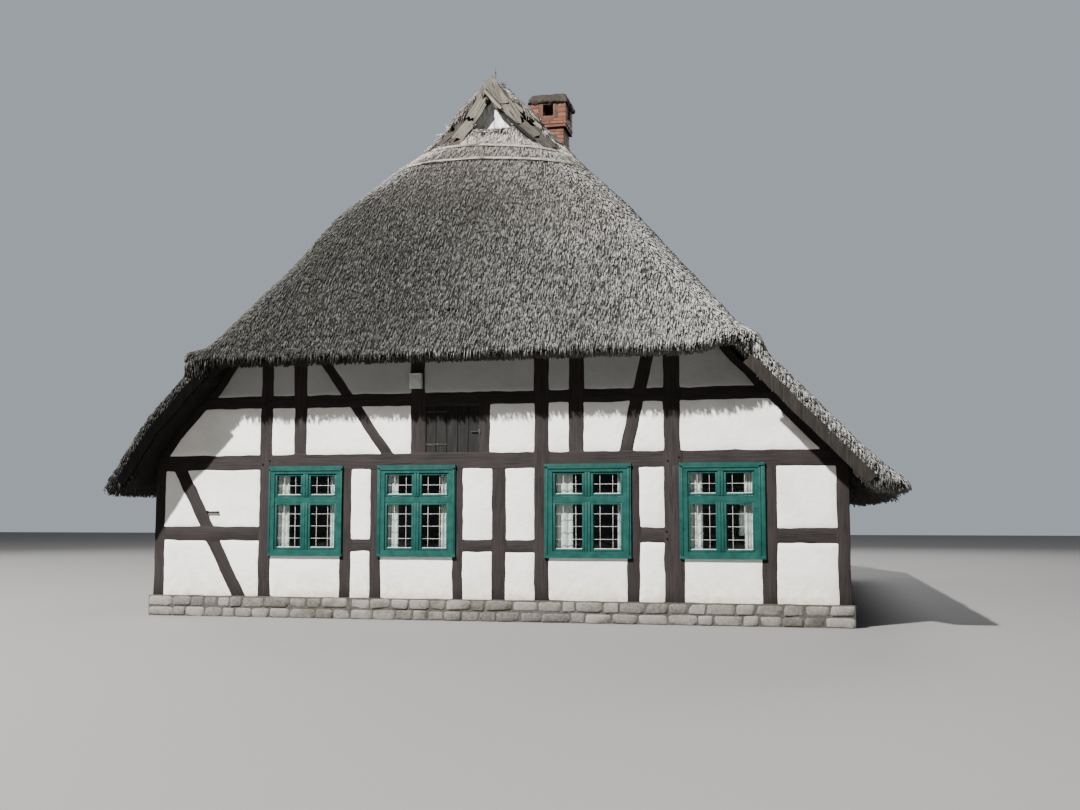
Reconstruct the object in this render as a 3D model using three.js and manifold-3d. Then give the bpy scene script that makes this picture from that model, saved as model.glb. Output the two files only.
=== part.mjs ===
// Thatched half-timbered cottage, at full size, in millimetres.
// Frame: +X to the right along the street gable, +Y into the house, +Z up.
// The origin is on the ground, at the centre of the roof's outline.

import * as THREE from 'three';
import { mergeVertices } from 'three/addons/utils/BufferGeometryUtils.js';
import Module from 'manifold-3d';

const wasm = await Module();
wasm.setup();

// Clearance between pieces that touch, how far a cutting solid reaches past its cut,
// how far two solids of one piece run into each other, and the distance that welds corners.
const GAP = 0.3;
const PAST = 50;
const LAP = 10;
const WELD = 0.001;

// Walls: outer faces, thickness, and how deep the timbers and the plaster sit.
const WALL_LEFT = -5500;
const WALL_RIGHT = 5300;
const WALL_END = 7200;
const WALL_THICK = 200;
const TIMBER_DEEP = 140;
const PLASTER_BACK = 14;

// Levels of the walls.
const PLINTH_TOP = 320;
const PLINTH_OUT = 60;
const FLOOR_THICK = 40;
const MID_RAIL = [2290, 2530];
const HIGH_RAIL = [3270, 3465];
const LOW_RAIL = [1185, 1405];
const LOW_RAIL_MIDDLE = [1030, 1215];
const GABLE_TOP = 4580;

// Thatch: thickness square to the slope, and the outer line of each slope from eave to ridge.
const THATCH = 300;
const HIP_THATCH = 340;
const EAVE_Z = 1950;
const RIDGE = [-400, 8980];
const LEFT_SLOPE = [[-6180, EAVE_Z], [-5450, 3050], [-4740, 3800], [-2800, 6680], [-1520, 7880], RIDGE];
const RIGHT_SLOPE = [[6180, EAVE_Z], [5700, 2330], [4010, 4080], [2220, 6320], [730, 7900], RIDGE];
const VERGE_END = 7800;

// Front hip, as (y, z) from its eave to the foot of the small gable above it.
const HIP_EAVE_Z = 3950;
const GABLET_END = 5550;
const HIP_TOP_Z = 8100;
const HIP_SLOPE = [[-7900, HIP_EAVE_Z], [-6820, 6500], [-6250, 7450], [-GABLET_END, HIP_TOP_Z]];
const HIP_LEVELS = [HIP_EAVE_Z, 4500, 5600, 6500, 7450, HIP_TOP_Z];
const HIP_ROUND_EAVE = 180;
const HIP_ROUND_TOP = 800;
const HIP_ROUND_LEAST = 130;
const HIP_ROUND_STEPS = 4;
const HIP_WEDGE_REACH = 0.3;
const VERGE_FOOT_Z = 7650;
const ATTIC_HEAD_Z = 6950;

// Beam that follows the thatch down each side of a gable wall.
const RAKER_WIDE = 120;

// Street gable: posts as left and right edges, seen from the street.
const NAVE_LEFT = [-3715, -3515];
const NAVE_RIGHT = [2680, 2925];
const CORNER_WIDE = 160;
const HALL_POST = [730, 950];
const LOW_POSTS = [[-2360, -2180], [-1870, -1690], [-545, -380], [70, 285], [2135, 2320], [4085, 4300]];
const HIGH_POSTS = [[-3150, -2940], [-1225, -1000], [1260, 1490]];
const HATCH_POST = [-130, 35];

// Braces: centre at the foot, centre at the head, width along X.
const LOW_BRACE = { foot: -4040, head: -5083, wide: 232 };
const LEFT_BRACE = { foot: -1590, head: -3070, wide: 190 };
const RIGHT_BRACE = { foot: 2120, head: 2585, wide: 200 };

// Windows of the gable: the architrave's outer edges, and the hole between the posts.
const GABLE_WINDOWS = [
  { outer: [-3545, -2325], hole: [-3515, -2360] },
  { outer: [-1720, -500], hole: [-1690, -545] },
  { outer: [886, 2192], hole: [950, 2135] },
  { outer: [2932, 4078], hole: [2965, 4045] },
];
const GABLE_WINDOW_OUTER_Z = [950, 2350];
const GABLE_WINDOW_HOLE_Z = [990, 2290];
const BACK_WINDOWS = [GABLE_WINDOWS[0], GABLE_WINDOWS[3]];

// Window joinery.
const ARCHITRAVE_OUT = 32;
const JOINERY_DEEP = 110;
const JOINERY_WIDE = 60;
const CROSS_WIDE = 90;
const CROSS_BACK = 20;
const TRANSOM_UP = 0.64;
const PANE_THICK = 6;
const LEDGE_OUT = 44;
const LEDGE_HIGH = 45;
const LEDGE_PAST = 4;
const LEDGE_OVER = 12;

// Long side walls: equal bays between posts.
const SIDE_BAYS = 10;
const SIDE_POST = 160;
const SIDE_PLATE = 180;
const SIDE_RAIL = [1030, 1190];
const SIDE_WINDOW_Z = [1000, 1900];
const SIDE_OVERLAP = 35;
const SIDE_OVERLAP_Z = 40;
const SIDE_WINDOW_BAYS = [2, 7];
const DOOR_BAY = 4;
const DOOR_TOP = 2080;
const DOOR_THICK = 50;
const STEP_DEEP = 380;
const STEP_HIGH = 160;

// Loft hatch.
const HATCH_THICK = 45;
const HATCH_BACK = 30;

// Small gable above each hip.
const GABLET_BOARD = 30;
const GABLET_SET_BACK = 180;
const GABLET_FOOT_Z = 7600;
const WIND_BOARD_THICK = 40;
const WIND_BOARD_IN = 170;
const WIND_BOARD_FOOT_Z = 7760;

// Ridge roll.
const RIDGE_CAP_THICK = 60;
const RIDGE_CAP_DOWN = 620;

// Chimney.
const CHIMNEY_X = -490;
const SHAFT = { wide: 640, deep: 660 };
const FLUE = { wide: 360, deep: 380 };
const HEAD = { wide: 750, deep: 770 };
const SHAFT_TOP = 9840;
const HEAD_TOP = 10350;
const SMOKE_HOLE = { wide: 220, from: 10040, to: 10340 };
const CAP = { wide: 870, deep: 880, top: 10580 };
const CAP_INSET = 90;
const CAP_EDGE = 90;

// Sizes past the model, for solids that only cut.
const FAR = 9500;
const SKY = 11500;

// Shape helpers.

const solid = (geometry) => {
  const bare = geometry.clone();
  bare.deleteAttribute('normal');
  bare.deleteAttribute('uv');
  const merged = mergeVertices(bare, WELD);
  const vertProperties = new Float32Array(merged.attributes.position.array);
  const triVerts = new Uint32Array(merged.index.array);
  return new wasm.Manifold(new wasm.Mesh({ numProp: 3, vertProperties, triVerts }));
};

const geometryOf = (body) => {
  const mesh = body.getMesh();
  const geometry = new THREE.BufferGeometry();
  geometry.setAttribute('position', new THREE.BufferAttribute(new Float32Array(mesh.vertProperties), 3));
  geometry.setIndex(new THREE.BufferAttribute(new Uint32Array(mesh.triVerts), 1));
  return geometry;
};

const box = (x, y, z) => {
  const geometry = new THREE.BoxGeometry(x[1] - x[0], y[1] - y[0], z[1] - z[0]);
  geometry.translate((x[0] + x[1]) / 2, (y[0] + y[1]) / 2, (z[0] + z[1]) / 2);
  return solid(geometry);
};

const extruded = (points, depth) => {
  const shape = new THREE.Shape(points.map(([a, b]) => new THREE.Vector2(a, b)));
  return new THREE.ExtrudeGeometry(shape, { depth, bevelEnabled: false });
};

// An outline in X and Z, swept along Y.
const sweepY = (points, y) => {
  const geometry = extruded(points, y[1] - y[0]);
  geometry.rotateX(Math.PI / 2);
  geometry.translate(0, y[1], 0);
  return solid(geometry);
};

// An outline in X and Y, swept along Z.
const sweepZ = (points, z) => {
  const geometry = extruded(points, z[1] - z[0]);
  geometry.translate(0, 0, z[0]);
  return solid(geometry);
};

const joined = (bodies) => bodies.reduce((whole, next) => whole.add(next));
const cut = (body, tools) => tools.reduce((rest, tool) => rest.subtract(tool), body);
const grown = (range, by) => [range[0] - by, range[1] + by];
const around = (centre, size) => [centre - size / 2, centre + size / 2];

// Where a profile line stands at a height, running on straight past its ends.
const lineAt = (line, z) => {
  let i = 1;
  while (i < line.length - 1 && z > line[i][1]) i += 1;
  const [a, b] = [line[i - 1], line[i]];
  return a[0] + ((b[0] - a[0]) * (z - a[1])) / (b[1] - a[1]);
};

// The same line moved inward, square to each stretch. side is 1 where inward is +, -1 where it is -.
const inset = (line, by, side) => {
  const stretches = line.slice(1).map((end, i) => {
    const [du, dz] = [end[0] - line[i][0], end[1] - line[i][1]];
    const length = Math.hypot(du, dz);
    const shift = [(side * dz * by) / length, (-side * du * by) / length];
    return [line[i], end].map((p) => [p[0] + shift[0], p[1] + shift[1]]);
  });
  const joints = stretches.slice(1).map((next, i) => meeting(stretches[i], next));
  const first = [lineAt(stretches[0], line[0][1]), line[0][1]];
  const topZ = line[line.length - 1][1];
  const last = [lineAt(stretches[stretches.length - 1], topZ), topZ];
  return [first, ...joints, last];
};

const meeting = ([a, b], [c, d]) => {
  const [ru, rz, su, sz] = [b[0] - a[0], b[1] - a[1], d[0] - c[0], d[1] - c[1]];
  const t = ((c[0] - a[0]) * sz - (c[1] - a[1]) * su) / (ru * sz - rz * su);
  return [a[0] + t * ru, a[1] + t * rz];
};

// Roof envelope.

// The lines of both long slopes, moved in by a distance.
const roofLines = (by) => [inset(LEFT_SLOPE, by, 1), inset(RIGHT_SLOPE, by, -1)];

// All that lies under both long slopes, between two heights and two ends.
const underSlopes = (left, right, y, z) => {
  const half = (line, far) => {
    const middle = line.filter((p) => p[1] > z[0] && p[1] < z[1]);
    const ends = z.map((height) => [lineAt(line, height), height]);
    const outline = [ends[0], ...middle, ends[1], [far, z[1]], [far, z[0]]];
    return sweepY(far > 0 ? outline.reverse() : outline, y);
  };
  return half(left, FAR).intersect(half(right, -FAR));
};

// A level ring with rounded corners, at one height of the hipped part.
const hipRing = (left, right, hip, round, z) => {
  const [x0, x1, y1] = [lineAt(left, z), lineAt(right, z), -lineAt(hip, z)];
  const r = Math.max(HIP_ROUND_LEAST, Math.min(round, (x1 - x0) / 2 - LAP));
  const corners = [[x1 - r, y1 - r], [x0 + r, y1 - r], [x0 + r, r - y1], [x1 - r, r - y1]];
  return corners.flatMap(([cx, cy], corner) => Array.from({ length: HIP_ROUND_STEPS + 1 }, (_, step) => {
    const turn = ((corner + step / HIP_ROUND_STEPS) * Math.PI) / 2;
    return [cx + r * Math.cos(turn), cy + r * Math.sin(turn), z];
  }));
};

// The rings joined into one closed body.
const lofted = (rings) => {
  const count = rings[0].length;
  const index = [];
  rings.slice(1).forEach((_, level) => {
    for (let i = 0; i < count; i += 1) {
      const [a, b] = [level * count + i, level * count + ((i + 1) % count)];
      index.push(a, b, b + count, a, b + count, a + count);
    }
  });
  const top = (rings.length - 1) * count;
  for (let i = 1; i < count - 1; i += 1) index.push(0, i + 1, i, top, top + i, top + i + 1);
  const geometry = new THREE.BufferGeometry();
  geometry.setAttribute('position', new THREE.Float32BufferAttribute(rings.flat(2), 3));
  geometry.setIndex(index);
  return solid(geometry);
};

const cornerRound = (z, by) => {
  const rise = Math.min(1, (z - HIP_EAVE_Z) / (HIP_LEVELS[2] - HIP_EAVE_Z));
  return HIP_ROUND_EAVE + (HIP_ROUND_TOP - HIP_ROUND_EAVE) * rise - by;
};

const hipped = (left, right, hip, by, levels) => lofted(
  levels.map((z) => hipRing(left, right, hip, cornerRound(z, by), z)),
);

// The hipped middle of the roof, with its faces moved out by a distance.
const hippedOuter = (by) => hipped(...roofLines(-by), inset(HIP_SLOPE, -by, 1), -by, HIP_LEVELS);

const roofOuter = () => {
  const low = underSlopes(LEFT_SLOPE, RIGHT_SLOPE, [-VERGE_END, VERGE_END], [EAVE_Z, HIP_EAVE_Z]);
  const top = underSlopes(LEFT_SLOPE, RIGHT_SLOPE, [-GABLET_END, GABLET_END], [VERGE_FOOT_Z, SKY]);
  return joined([low, hippedOuter(0), top]);
};

// The space under the thatch, with its faces moved in by a distance. The attic's head is
// a little wider than the rest, so that no two of its faces run on in one plane.
const roofInner = (extra) => {
  const [left, right] = roofLines(THATCH + extra);
  const [headLeft, headRight] = roofLines(THATCH + extra - LAP);
  const hip = inset(HIP_SLOPE, HIP_THATCH + extra, 1);
  const headZ = hip.reduce((z, p, i) => (i && p[0] > -GABLET_END ? meeting([hip[i - 1], p],
    [[-GABLET_END, 0], [-GABLET_END, SKY]])[1] : z), HIP_TOP_Z);
  const levels = HIP_LEVELS.filter((z) => z < headZ).concat(headZ);
  const low = underSlopes(left, right, [-FAR, FAR], [-FAR, HIP_EAVE_Z]);
  const middle = hipped(left, right, hip, THATCH, [HIP_EAVE_Z - LAP, ...levels.slice(1)]);
  const top = underSlopes(headLeft, headRight, [-GABLET_END - LAP, GABLET_END + LAP], [ATTIC_HEAD_Z, SKY]);
  return joined([low, middle, top]);
};

// The wedge over one gable wall that the hip's thatch fills.
const hipWedge = (by) => {
  const eaveLeft = lineAt(LEFT_SLOPE, HIP_EAVE_Z);
  const eaveRight = lineAt(RIGHT_SLOPE, HIP_EAVE_Z);
  const headLeft = lineAt(LEFT_SLOPE, HIP_TOP_Z) - by;
  const headRight = lineAt(RIGHT_SLOPE, HIP_TOP_Z) + by;
  const eaveY = HIP_SLOPE[0][0];
  const reach = (from, to) => from + (from - to) * HIP_WEDGE_REACH;
  const outY = reach(eaveY, -GABLET_END);
  const endY = -GABLET_END - GAP + by;
  const outline = [[reach(eaveLeft, headLeft) - by, outY], [reach(eaveRight, headRight) + by, outY],
    [headRight, endY], [headLeft, endY]];
  return sweepZ(outline, [HIP_EAVE_Z - LAP - by, SKY]);
};

const flipped = (body) => body.mirror([0, 1, 0]);

// Gable wall, built at the street end: its outer face is at y = -WALL_END.

const brace = ({ foot, head, wide }, z, y, by) => {
  const half = wide / 2 + by;
  return sweepY([[foot - half, z[0]], [foot + half, z[0]], [head + half, z[1]], [head - half, z[1]]], y);
};

const raker = (y, by) => {
  const footZ = MID_RAIL[0] + LAP;
  const whole = underSlopes(...roofLines(THATCH - by), y, [footZ, SKY]);
  const open = underSlopes(...roofLines(THATCH + RAKER_WIDE + by), grown(y, PAST), [footZ - PAST, SKY]);
  return whole.subtract(open);
};

const gableMembers = (y, by) => {
  const foot = PLINTH_TOP + GAP;
  const wide = (range) => grown(range, by);
  const post = (range, z) => box(wide(range), y, z);
  const rail = (x, z) => box(x, y, wide(z));
  const whole = [WALL_LEFT, WALL_RIGHT];
  const low = [foot, MID_RAIL[1] - LAP];
  const high = [MID_RAIL[0] + LAP, GABLE_TOP];
  return joined([
    post([WALL_LEFT, WALL_LEFT + CORNER_WIDE], low),
    post([WALL_RIGHT - CORNER_WIDE, WALL_RIGHT], low),
    ...[NAVE_LEFT, NAVE_RIGHT, HALL_POST].map((range) => post(range, [foot, GABLE_TOP])),
    ...LOW_POSTS.map((range) => post(range, low)),
    ...HIGH_POSTS.map((range) => post(range, high)),
    post(HATCH_POST, [high[0], HIGH_RAIL[1] - LAP]),
    rail(whole, MID_RAIL),
    rail(whole, HIGH_RAIL),
    rail([WALL_LEFT, NAVE_LEFT[0]], LOW_RAIL),
    rail([LOW_POSTS[0][0], LOW_POSTS[1][1]], LOW_RAIL_MIDDLE),
    rail([LOW_POSTS[2][0], HALL_POST[1]], LOW_RAIL_MIDDLE),
    rail([LOW_POSTS[4][0], NAVE_RIGHT[1]], LOW_RAIL),
    rail([LOW_POSTS[5][0], WALL_RIGHT], LOW_RAIL),
    brace(LOW_BRACE, [foot, MID_RAIL[0] + LAP], y, by),
    brace(LEFT_BRACE, [MID_RAIL[1] - LAP, GABLE_TOP], y, by),
    brace(RIGHT_BRACE, [MID_RAIL[1] - LAP, GABLE_TOP], y, by),
    raker(y, by),
  ]);
};

const windowHole = ({ hole }, y) => box(hole, grown(y, PAST), GABLE_WINDOW_HOLE_Z);
const hatchHole = (y) => box([HIGH_POSTS[1][1], HATCH_POST[0]], grown(y, PAST), [MID_RAIL[1], HIGH_RAIL[0]]);

const gableY = [-WALL_END, -WALL_END + WALL_THICK];
const timberY = [-WALL_END, -WALL_END + TIMBER_DEEP];

const gableSlab = (y) => box([WALL_LEFT, WALL_RIGHT], y, [PLINTH_TOP + GAP, GABLE_TOP]);

const gableFrame = (space, windows) => {
  const members = gableMembers(timberY, 0).intersect(space).intersect(gableSlab(timberY));
  return cut(members, windows.map((w) => windowHole(w, timberY)));
};

const gableInfill = (space, windows, hatch) => {
  const slab = gableSlab([gableY[0] + PLASTER_BACK, gableY[1]]);
  const timbers = gableMembers([timberY[0] - GAP, timberY[1] + GAP], GAP);
  const holes = windows.map((w) => windowHole(w, gableY));
  return cut(slab.intersect(space), [timbers, ...holes, ...(hatch ? [hatchHole(gableY)] : [])]);
};

// Long side wall, built along X and then turned: y = 0 is its outer face, x runs along the wall.

const sideLength = 2 * (WALL_END - WALL_THICK) - 2 * GAP;
const bayWide = sideLength / SIDE_BAYS;
const bayEdges = (bay) => {
  const start = -sideLength / 2 + bay * bayWide;
  return [start + SIDE_POST / 2, start + bayWide - SIDE_POST / 2];
};

const sideMembers = (y, by) => {
  const foot = PLINTH_TOP + GAP;
  const top = MID_RAIL[0] - GAP;
  const half = sideLength / 2;
  const posts = Array.from({ length: SIDE_BAYS + 1 }, (_, i) => {
    const centre = Math.max(SIDE_POST / 2 - half, Math.min(half - SIDE_POST / 2, i * bayWide - half));
    return box(grown(around(centre, SIDE_POST), by), y, [foot, top]);
  });
  const rails = Array.from({ length: SIDE_BAYS }, (_, bay) => (
    box(grown(bayEdges(bay), LAP), y, grown(SIDE_RAIL, by))));
  return joined([...posts, ...rails, box([-half, half], y, [top - SIDE_PLATE - by, top])]);
};

const sideHoles = (bays, door, y) => {
  const windows = bays.map((bay) => box(bayEdges(bay), grown(y, PAST), SIDE_WINDOW_Z));
  const doorway = box(bayEdges(DOOR_BAY), grown(y, PAST), [PLINTH_TOP - PAST, DOOR_TOP]);
  return door ? [...windows, doorway] : windows;
};

const sideFrame = (bays, door) => {
  const y = [0, TIMBER_DEEP];
  return cut(sideMembers(y, 0), sideHoles(bays, door, y));
};

const sideInfill = (bays, door) => {
  const half = sideLength / 2;
  const slab = box([-half, half], [PLASTER_BACK, WALL_THICK], [PLINTH_TOP + GAP, MID_RAIL[0] - GAP]);
  const timbers = sideMembers([-GAP, TIMBER_DEEP + GAP], GAP);
  return cut(slab, [timbers, ...sideHoles(bays, door, [0, WALL_THICK])]);
};

// Window, with y = 0 on the wall's outer face: a lining in the hole, an architrave on the wall,
// a drip ledge, a sill, and a cross of mullion and transom.
const windowFrame = ({ outer, hole }, outerZ, holeZ) => {
  const inHole = [grown(hole, -GAP), grown(holeZ, -GAP)];
  const light = [grown(hole, -JOINERY_WIDE), grown(holeZ, -JOINERY_WIDE)];
  const front = [-ARCHITRAVE_OUT, -GAP];
  const middle = (hole[0] + hole[1]) / 2;
  const transomZ = holeZ[0] + (holeZ[1] - holeZ[0]) * TRANSOM_UP;
  const lining = box(inHole[0], [-ARCHITRAVE_OUT, JOINERY_DEEP], inHole[1]);
  const architrave = box(outer, front, grown(outerZ, -LEDGE_OVER));
  const sheet = lining.add(architrave).subtract(box(light[0], [-FAR, FAR], light[1]));
  const crossY = [-CROSS_BACK, CROSS_BACK];
  return joined([
    sheet,
    box(around(middle, CROSS_WIDE), crossY, grown(holeZ, -JOINERY_WIDE / 2)),
    box(grown(hole, -JOINERY_WIDE / 2), crossY, around(transomZ, CROSS_WIDE)),
    box(grown(outer, LEDGE_PAST), [-LEDGE_OUT, -GAP], [outerZ[1] - LEDGE_HIGH, outerZ[1]]),
    box(grown(outer, LEDGE_PAST), [-LEDGE_OUT, -GAP], [outerZ[0], outerZ[0] + LEDGE_HIGH]),
  ]);
};

const windowPane = ({ hole }, holeZ) => box(
  grown(hole, -JOINERY_WIDE - GAP),
  [CROSS_BACK + GAP, CROSS_BACK + GAP + PANE_THICK],
  grown(holeZ, -JOINERY_WIDE - GAP),
);

const sideWindow = (bay) => ({ outer: grown(bayEdges(bay), SIDE_OVERLAP), hole: bayEdges(bay) });
const sideOuterZ = grown(SIDE_WINDOW_Z, SIDE_OVERLAP_Z);

// Plank door in its frame, with y = 0 on the wall's outer face.
const sideDoor = () => box(
  grown(bayEdges(DOOR_BAY), -GAP),
  [PLASTER_BACK, PLASTER_BACK + DOOR_THICK],
  [PLINTH_TOP + GAP, DOOR_TOP - GAP],
);

const doorStep = () => box(
  bayEdges(DOOR_BAY),
  [-PLINTH_OUT - GAP - STEP_DEEP, -PLINTH_OUT - GAP],
  [0, STEP_HIGH],
);

const hatchLeaf = () => box(
  grown([HIGH_POSTS[1][1], HATCH_POST[0]], -GAP),
  [-WALL_END + HATCH_BACK, -WALL_END + HATCH_BACK + HATCH_THICK],
  grown([MID_RAIL[1], HIGH_RAIL[0]], -GAP),
);

// Ground work and floors.

const plinth = () => box(
  [WALL_LEFT - PLINTH_OUT, WALL_RIGHT + PLINTH_OUT],
  grown([-WALL_END, WALL_END], PLINTH_OUT),
  [0, PLINTH_TOP],
);

const insideX = [WALL_LEFT + WALL_THICK + GAP, WALL_RIGHT - WALL_THICK - GAP];
const insideY = [-WALL_END + WALL_THICK + GAP, WALL_END - WALL_THICK - GAP];

const shaftHole = (z) => box(
  grown(around(CHIMNEY_X, SHAFT.wide), GAP),
  grown(around(0, SHAFT.deep), GAP),
  z,
);

const groundFloor = () => box(insideX, insideY, [PLINTH_TOP + GAP, PLINTH_TOP + GAP + FLOOR_THICK])
  .subtract(shaftHole([0, MID_RAIL[0]]));

const loftFloor = (space) => box([WALL_LEFT, WALL_RIGHT], insideY, MID_RAIL)
  .intersect(space)
  .subtract(shaftHole(grown(MID_RAIL, PAST)));

// Roof pieces.

const shell = (space) => roofOuter().subtract(space).subtract(shaftHole([EAVE_Z, SKY]));

const slopeHalf = (thatch, sideSign) => {
  const x = sideSign < 0 ? [-FAR, RIDGE[0] - GAP / 2] : [RIDGE[0] + GAP / 2, FAR];
  const half = thatch.intersect(box(x, [-FAR, FAR], [0, SKY]));
  return cut(half, [hipWedge(GAP), flipped(hipWedge(GAP))]);
};

const ridgeCap = () => {
  const ends = [-GABLET_END, GABLET_END];
  const footZ = RIDGE[1] - RIDGE_CAP_DOWN;
  const whole = underSlopes(...roofLines(-RIDGE_CAP_THICK), ends, [footZ, SKY]);
  const thatch = underSlopes(...roofLines(-GAP), grown(ends, PAST), [footZ - PAST, SKY]);
  return cut(whole, [thatch, shaftHole([EAVE_Z, SKY])]);
};

const gablet = (space) => {
  const y = [-GABLET_END + GABLET_SET_BACK, -GABLET_END + GABLET_SET_BACK + GABLET_BOARD];
  return box([-FAR, FAR], y, [GABLET_FOOT_Z, SKY]).intersect(space);
};

const windBoards = () => {
  const y = [-GABLET_END - GAP - WIND_BOARD_THICK, -GABLET_END - GAP];
  const whole = underSlopes(LEFT_SLOPE, RIGHT_SLOPE, y, [WIND_BOARD_FOOT_Z, SKY]);
  const open = underSlopes(...roofLines(WIND_BOARD_IN), grown(y, PAST), [WIND_BOARD_FOOT_Z - PAST, SKY]);
  return cut(whole, [open, hippedOuter(GAP)]);
};

// Chimney.

const chimneyShaft = () => {
  const across = (size) => [around(CHIMNEY_X, size.wide), around(0, size.deep)];
  const flue = box(...across(FLUE), [0, SKY]);
  const smokeZ = [SMOKE_HOLE.from, SMOKE_HOLE.to];
  const smokeX = box(around(CHIMNEY_X, HEAD.wide * 2), around(0, SMOKE_HOLE.wide), smokeZ);
  const smokeY = box(around(CHIMNEY_X, SMOKE_HOLE.wide), around(0, HEAD.deep * 2), smokeZ);
  const stack = box(...across(SHAFT), [PLINTH_TOP + GAP, SHAFT_TOP + LAP]);
  const head = box(...across(HEAD), [SHAFT_TOP, HEAD_TOP]);
  return cut(stack.add(head), [flue, smokeX, smokeY]);
};

const chimneyCap = () => {
  const foot = HEAD_TOP + GAP;
  const low = box(around(CHIMNEY_X, CAP.wide), around(0, CAP.deep), [foot, foot + CAP_EDGE]);
  const top = lofted([foot + CAP_EDGE - LAP, CAP.top].map((z, i) => {
    const [hw, hd] = [CAP.wide / 2 - i * CAP_INSET, CAP.deep / 2 - i * CAP_INSET];
    return [[hw, hd], [-hw, hd], [-hw, -hd], [hw, -hd]].map(([x, y]) => [CHIMNEY_X + x, y, z]);
  }));
  return low.add(top);
};

// Colours and finishes.

const finish = (colour, roughness, metalness = 0) => ({ color: colour, roughness, metalness });
const OAK = finish(0x4c423d, 0.85);
const PLASTER = finish(0xe9e6de, 0.9);
const THATCH_GREY = finish(0x8b8379, 1);
const GREEN_PAINT = finish(0x2f7a6a, 0.5);
const GLASS = finish(0x1c2426, 0.08);
const STONE = finish(0x8e8b85, 0.9);
const OLD_BOARD = finish(0xa39c90, 0.9);
const BRICK = finish(0xa4543c, 0.85);
const MOSSY = finish(0x5b5245, 0.95);

const group = new THREE.Group();

const place = (name, body, look, parent = group) => {
  const mesh = new THREE.Mesh(geometryOf(body), new THREE.MeshStandardMaterial(look));
  mesh.name = name;
  parent.add(mesh);
  return mesh;
};

const underside = roofInner(GAP);
const thatch = shell(roofInner(0));

place('plinth', plinth(), STONE);
place('ground_floor', groundFloor(), OLD_BOARD);
place('loft_floor', loftFloor(underside), OLD_BOARD);

place('front_frame', gableFrame(underside, GABLE_WINDOWS), OAK);
place('front_infill', gableInfill(underside, GABLE_WINDOWS, true), PLASTER);
place('back_frame', flipped(gableFrame(underside, BACK_WINDOWS)), OAK);
place('back_infill', flipped(gableInfill(underside, BACK_WINDOWS, false)), PLASTER);
place('loft_hatch', hatchLeaf(), OLD_BOARD);

// A window of the street gable keeps its place; one at the back is turned about the middle.
const gableEnds = [
  { name: 'front', windows: GABLE_WINDOWS, back: false },
  { name: 'back', windows: BACK_WINDOWS, back: true },
];
gableEnds.forEach(({ name, windows, back }) => windows.forEach((window, i) => {
  const frame = windowFrame(window, GABLE_WINDOW_OUTER_Z, GABLE_WINDOW_HOLE_Z).translate([0, -WALL_END, 0]);
  const pane = windowPane(window, GABLE_WINDOW_HOLE_Z).translate([0, -WALL_END, 0]);
  place(`${name}_window_${i + 1}`, back ? flipped(frame) : frame, GREEN_PAINT);
  place(`${name}_pane_${i + 1}`, back ? flipped(pane) : pane, GLASS);
}));

// The long sides are built facing -Y and turned into place.
const sides = [
  { name: 'left', x: WALL_LEFT, turn: -Math.PI / 2, door: true },
  { name: 'right', x: WALL_RIGHT, turn: Math.PI / 2, door: false },
];
sides.forEach(({ name, x, turn, door }) => {
  const wall = new THREE.Group();
  wall.position.x = x;
  wall.rotation.z = turn;
  group.add(wall);
  place(`${name}_frame`, sideFrame(SIDE_WINDOW_BAYS, door), OAK, wall);
  place(`${name}_infill`, sideInfill(SIDE_WINDOW_BAYS, door), PLASTER, wall);
  SIDE_WINDOW_BAYS.forEach((bay, i) => {
    const frame = windowFrame(sideWindow(bay), sideOuterZ, SIDE_WINDOW_Z);
    place(`${name}_window_${i + 1}`, frame, GREEN_PAINT, wall);
    place(`${name}_pane_${i + 1}`, windowPane(sideWindow(bay), SIDE_WINDOW_Z), GLASS, wall);
  });
  if (door) {
    place('side_door', sideDoor(), OLD_BOARD, wall);
    place('door_step', doorStep(), STONE, wall);
  }
});

place('roof_left', slopeHalf(thatch, -1), THATCH_GREY);
place('roof_right', slopeHalf(thatch, 1), THATCH_GREY);
place('front_hip', thatch.intersect(hipWedge(0)), THATCH_GREY);
place('back_hip', flipped(thatch.intersect(hipWedge(0))), THATCH_GREY);
place('ridge_cap', ridgeCap(), THATCH_GREY);
place('front_gablet', gablet(underside), OLD_BOARD);
place('back_gablet', flipped(gablet(underside)), OLD_BOARD);
place('front_wind_boards', windBoards(), OLD_BOARD);
place('back_wind_boards', flipped(windBoards()), OLD_BOARD);
place('chimney_shaft', chimneyShaft(), BRICK);
place('chimney_cap', chimneyCap(), MOSSY);

export default group;
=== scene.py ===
import math
import random
from contextlib import contextmanager

import bpy
import numpy as np
from bpy.props import FloatProperty, FloatVectorProperty, IntProperty, PointerProperty
from mathutils import Matrix, Vector, noise
from mathutils.bvhtree import BVHTree
from mathutils.kdtree import KDTree


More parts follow.
